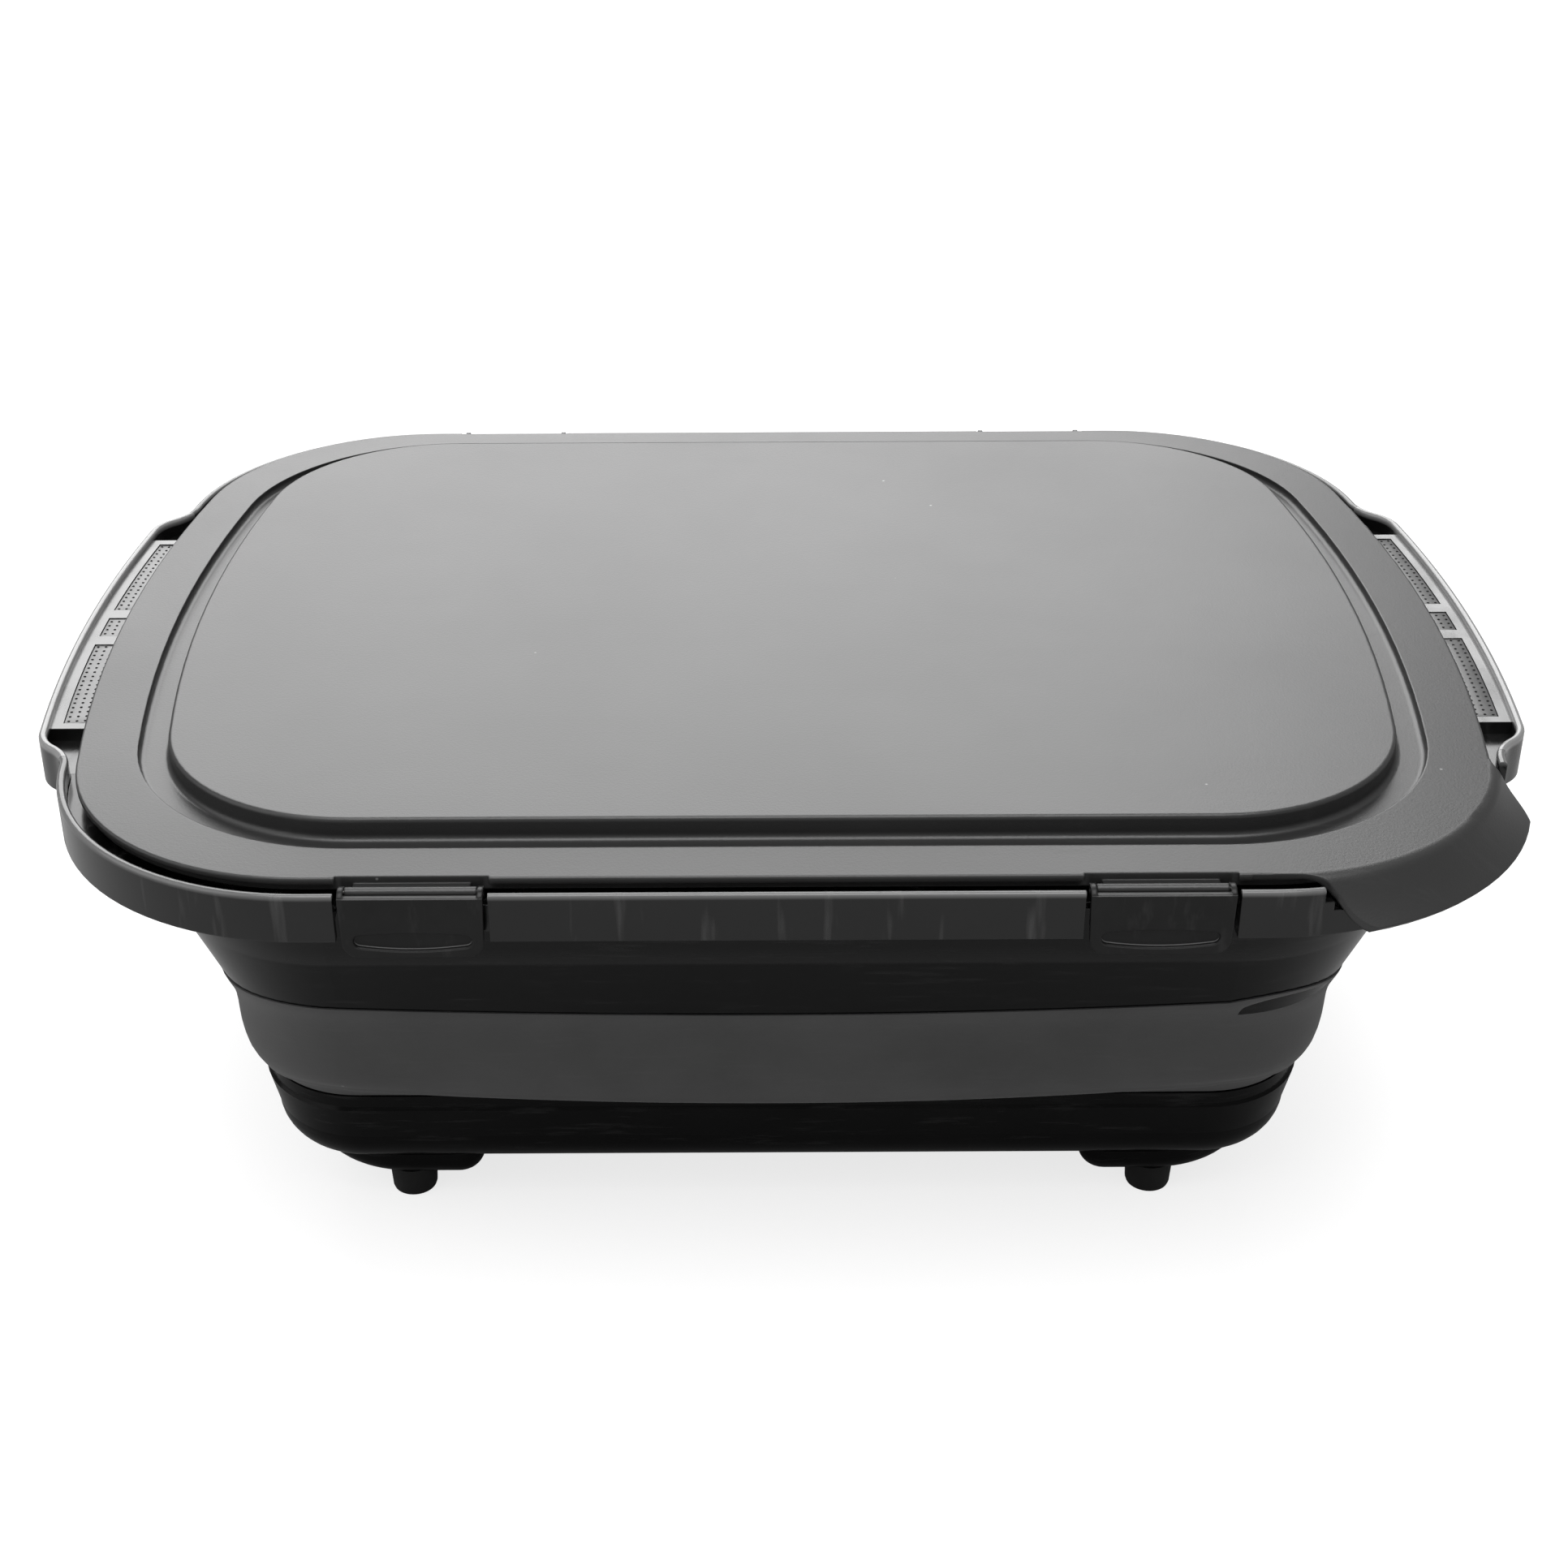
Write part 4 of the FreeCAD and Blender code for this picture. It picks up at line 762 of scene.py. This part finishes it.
@dataclass(frozen=True)
class Wave:
    """How far an edge of the soft band rises and falls on its way round a corner, in millimetres and degrees.

    The bend of the corner runs from 0 at the long side to about 80 at the end.
    """

    at_middle: float
    at_run_end: float
    at_peak: float
    peak: float
    at_end: float
    end: float = 80.0

    def lift(self, along: float, turned: float) -> float:
        """Give the rise at one place.

        Args:
            along: Distance from the middle of the long side, as a share of its straight run.
            turned: Degrees round the corner, where the straight run is over.

        Returns:
            The rise.
        """
        if turned <= 0:
            return self.at_middle + (self.at_run_end - self.at_middle) * along ** 2
        if turned < self.peak:
            share = turned / self.peak
            return self.at_run_end + (self.at_peak - self.at_run_end) * share * (2 - share)
        share = share_of(turned, self.peak, self.end)
        return self.at_peak + (self.at_end - self.at_peak) * share * share * (3 - 2 * share)


@dataclass
class FoldingWall:
    """The soft band that folds when the tub is pushed flat, in millimetres and degrees.

    It never unfolds quite evenly: its edges sag along the long sides and climb into the corners. Profiles
    give how far beyond the lid's edge and how high each point lies.
    """

    head: float = 97.0
    foot: float = 56.0
    skin: tuple[ProfilePoint, ...] = (
        (-38.3, 98.6), (-38.75, 97.4), (-39.35, 96.0), (-39.95, 94.6), (-40.6, 93.0), (-41.3, 91.2),
        (-42.0, 88.8), (-42.6, 85.5), (-42.9, 82), (-43.05, 78), (-43.25, 74), (-43.75, 70), (-44.6, 66),
        (-45.9, 62.4), (-47.2, 59.6), (-48.3, 57.6))
    lip: tuple[ProfilePoint, ...] = ((-48.9, 56.2), (-49.6, 55.4), (-50.6, 55.3))
    inside: tuple[ProfilePoint, ...] = (
        (-51.9, 56.1), (-52.2, 56.4), (-49.9, 60.6), (-47.9, 65), (-46.4, 70), (-45.7, 76), (-45.4, 83),
        (-44.6, 89), (-43.2, 93.2), (-41.7, 96.9), (-39.7, 97.2), (-38.9, 98.8))
    sharp: float = 60.0
    slices: int = 12
    head_waves: dict[Hand, Wave] = field(default_factory=lambda: {
        Hand.LEFT: Wave(0.2, 4.6, 4.9, 14, -1.0), Hand.RIGHT: Wave(0.2, 6.0, 8.6, 18, -1.0)})
    foot_waves: dict[Hand, Wave] = field(default_factory=lambda: {
        Hand.LEFT: Wave(-1.6, 4.4, 5.2, 12, 0.2), Hand.RIGHT: Wave(-1.6, 5.0, 5.8, 8, 0.2)})
    # Levels between which each edge's waves fade in.
    head_fade: tuple[float, float] = (84.0, 96.0)
    foot_fade: tuple[float, float] = (68.0, 57.0)
    # The head's waves fade in from here to here, beside the stiff wall's face: the inside stays where it is.
    skin_fade: tuple[float, float] = (-2.0, -1.0)
    # The foot's waves fade in from here to here, beyond the lid's edge: what the pan holds stays where it is.
    held_fade: tuple[float, float] = (-52.0, -50.4)
    # The foot of the stiff wall's outer face, and how far out the face leads for each millimetre up.
    wall_foot: ProfilePoint = (-39.4, 97.3)
    wall_slope: float = 0.4235
    # The lens-shaped dent at the right-hand corners, with its middle's distance below the head.
    dent: float = 2.2
    dent_turn: tuple[float, float] = (4.0, 58.0)
    dent_drop: float = 2.6
    dent_reach: float = 2.4

    def build(self) -> None:
        """Make the band between the pan and the rim."""
        ring = RingSweep([(out, level, 0.0) for out, level in self.skin + self.lip + self.inside])
        self._slice(ring.bm)
        for vert in ring.bm.verts:
            self._unfold(vert)
        piece = finish_mesh(ring.bm, "folding_wall", BAND_RUBBER.material(), self.sharp)
        stand_for(piece, ["fold_band"])
        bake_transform(piece)

    def _slice(self, bm: bmesh.types.BMesh) -> None:
        """Cut the long straight runs across, so that their edges can sag.

        Args:
            bm: The band.
        """
        reach = OUTLINE.corner()[0]
        for step in range(1 - self.slices, self.slices):
            every = bm.verts[:] + bm.edges[:] + bm.faces[:]
            bmesh.ops.bisect_plane(bm, geom=every, dist=1e-4, plane_co=(reach * step / self.slices, 0, 0),
                                   plane_no=(1, 0, 0))

    def _unfold(self, vert: bmesh.types.BMVert) -> None:
        """Move one point as the band's uneven folds leave it.

        Args:
            vert: The point, in millimetres.
        """
        x, y = OUTLINE.corner()
        hand = Hand.RIGHT if vert.co.x > 0 else Hand.LEFT
        along = min(abs(vert.co.x) / x, 1.0)
        turned = math.degrees(math.atan2(abs(vert.co.x) - x, max(abs(vert.co.y) - y, 1e-6)))
        out, away = OUTLINE.beyond(vert.co)
        skin = share_of(out - self._wall_face(vert.co.z), *self.skin_fade)
        upper = share_of(vert.co.z, *self.head_fade) * skin
        lower = share_of(vert.co.z, *self.foot_fade) * share_of(out, *self.held_fade)
        rise = self.head_waves[hand].lift(along, turned) * upper
        rise += self.foot_waves[hand].lift(along, turned) * lower
        shift = self.wall_slope * rise * upper
        if hand is Hand.RIGHT and upper > 0 and self.dent_turn[0] < turned < self.dent_turn[1]:
            shift -= self._dented(turned, self.head - vert.co.z) * skin
        vert.co = vert.co + away * shift + Vector((0, 0, rise))

    def _dented(self, turned: float, below: float) -> float:
        """Give the depth of the dent under the head's edge.

        Args:
            turned: Degrees round the corner.
            below: Distance below the head.

        Returns:
            The depth.
        """
        across = math.sin(math.pi * share_of(turned, *self.dent_turn))
        return self.dent * across * max(1 - abs(below - self.dent_drop) / self.dent_reach, 0.0)

    def _wall_face(self, level: float) -> float:
        """Give how far beyond the lid's edge the stiff wall's outer face runs at a level."""
        return self.wall_foot[0] + (level - self.wall_foot[1]) * self.wall_slope


@dataclass
class Pan:
    """The bottom pan and its feet, in millimetres."""

    foot_x: float = 134.98
    foot_y: float = 116.0
    # Half a foot's outline from the middle of its underside to the top of its stem: radius, level.
    foot_profile: tuple[ProfilePoint, ...] = (
        (0, 0.4), (4.7, 0.4), (5.5, 0), (6.9, 0), (7.75, 0.4), (8.1, 1.4), (8.55, 9.2), (8.7, 10.2),
        (8.6, 11.5), (3.5, 11.5), (3.5, 15.5), (0, 15.5))
    foot_steps: int = 40

    def build(self) -> None:
        """Dress the pan and make the feet."""
        dress(["base_pan"], BASE_PLASTIC.material())
        rubber = FOOT_RUBBER.material()
        for side in Side:
            for hand in Hand:
                where = f"{side.name.lower()}_{hand.name.lower()}"
                piece = self._foot(f"rubber_foot_{where}", side, hand, rubber)
                stand_for(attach(piece, "base"), [f"foot_{where}"])

    def _foot(self, name: str, side: Side, hand: Hand, rubber: bpy.types.Material) -> bpy.types.Object:
        """Turn one foot about its own axis and set it under its pad.

        Args:
            name: The piece's name.
            side: The long side that it stands at.
            hand: The end that it stands at.
            rubber: Its material.

        Returns:
            The piece.
        """
        bm = bmesh.new()
        points = [bm.verts.new((radius, 0, level)) for radius, level in self.foot_profile]
        edges = [bm.edges.new(pair) for pair in zip(points, points[1:])]
        bmesh.ops.spin(bm, geom=points + edges, cent=(0, 0, 0), axis=(0, 0, 1), dvec=(0, 0, 0),
                       angle=math.tau, steps=self.foot_steps, use_merge=True, use_normal_flip=False,
                       use_duplicate=False)
        place = (hand.value * self.foot_x, side.value * self.foot_y, 0)
        bmesh.ops.translate(bm, vec=place, verts=bm.verts[:])
        return finish_mesh(bm, name, rubber)


@dataclass(frozen=True)
class Lamp:
    """A broad soft light: its strength, how wide it looks from the object, and its rotation, in degrees."""

    name: str
    energy: float
    spread: float
    turned: tuple[float, float, float]

    def build(self) -> None:
        """Add the light."""
        data = bpy.data.lights.new(self.name, "SUN")
        data.energy, data.angle = self.energy, math.radians(self.spread)
        lamp = bpy.data.objects.new(self.name, data)
        lamp.rotation_euler = [math.radians(angle) for angle in self.turned]
        bpy.context.scene.collection.objects.link(lamp)


@dataclass
class Studio:
    """The camera, the floor and the light of the photograph, in metres and degrees."""

    lens: float = 54.20
    sensor: float = 36.0
    place: tuple[float, float, float] = (-0.0122, -0.8069, 0.5553)
    tilt: float = 61.37
    roll: float = -0.27
    shift: tuple[float, float] = (0.0241, -0.0170)
    sight: float = 50.0
    # The room's strength as light, and as it is mirrored in glossy pieces.
    room: float = 0.5
    mirrored: float = 0.3
    lamps: tuple[Lamp, ...] = (
        Lamp("rear_softbox", 1.9, 50, (-58, 0, 6)),
        Lamp("left_fill", 0.6, 60, (60, 0, -72)),
        Lamp("overhead_softbox", 1.6, 40, (10, 0, 0)))
    floor: float = 12.0
    floor_glow: float = 0.76
    paper: tuple[str, str] = ("a6a6a6", "acacac")
    # Size of the paper's fibres, in millimetres.
    fibre: float = 4.0

    def build(self) -> None:
        """Set up the camera, the light and the floor."""
        scene = bpy.context.scene
        scene.view_settings.view_transform = "Standard"
        data = bpy.data.cameras.new("photo_camera")
        data.sensor_width, data.lens = self.sensor, self.lens
        data.shift_x, data.shift_y = self.shift
        data.clip_end = self.sight
        camera = bpy.data.objects.new("photo_camera", data)
        camera.matrix_world = (Matrix.Translation(self.place)
                               @ Matrix.Rotation(math.radians(self.tilt), 4, "X")
                               @ Matrix.Rotation(math.radians(self.roll), 4, "Z"))
        scene.collection.objects.link(camera)
        scene.camera = camera
        self._room()
        for lamp in self.lamps:
            lamp.build()
        self._floor()

    def _room(self) -> None:
        """Add a white room that looks fully white to the camera and lights the tub more weakly."""
        world = bpy.data.worlds.new("white_room")
        bpy.context.scene.world = world
        world.use_nodes = True
        tree = world.node_tree
        tree.nodes.clear()
        path = add_node(tree, "ShaderNodeLightPath")
        light = ramp(tree, path.outputs["Is Glossy Ray"], wanted=(self.room, self.mirrored))
        strength = add_node(tree, "ShaderNodeMapRange", {"To Max": 1.0},
                            {"Value": path.outputs["Is Camera Ray"], "To Min": light}).outputs["Result"]
        back = add_node(tree, "ShaderNodeBackground", {"Color": (1, 1, 1, 1)}, {"Strength": strength})
        add_node(tree, "ShaderNodeOutputWorld", links={"Surface": back.outputs["Background"]})

    def _floor(self) -> None:
        """Lay a plain paper floor that keeps the object's shadow and looks fully white away from it."""
        bm = bmesh.new()
        bmesh.ops.create_grid(bm, x_segments=1, y_segments=1, size=self.floor / MM / 2)
        material, place = empty_material("white_sweep_paper")
        tree = material.node_tree
        colour = mix_colours(tree, noise(tree, place, 1 / (self.fibre * MM), detail=3.0), *self.paper)
        paper = add_node(tree, "ShaderNodeBsdfDiffuse", links={"Color": colour}).outputs["BSDF"]
        path = add_node(tree, "ShaderNodeLightPath")
        seen = ramp(tree, path.outputs["Is Camera Ray"], wanted=(0.0, self.floor_glow))
        glow = add_node(tree, "ShaderNodeEmission", {"Color": (1, 1, 1, 1)}, {"Strength": seen})
        both = add_node(tree, "ShaderNodeAddShader", links={0: paper, 1: glow.outputs["Emission"]})
        add_node(tree, "ShaderNodeOutputMaterial", links={"Surface": both.outputs["Shader"]})
        floor = finish_mesh(bm, "floor", material)


def main() -> None:
    """Build the studio and every sub-assembly in order."""
    logging.basicConfig(level=logging.INFO)
    for part in (Studio(), Lid(), Rim(), Grips(), FoldingWall(), Pan()):
        part.build()


if __name__ == "__main__":
    main()
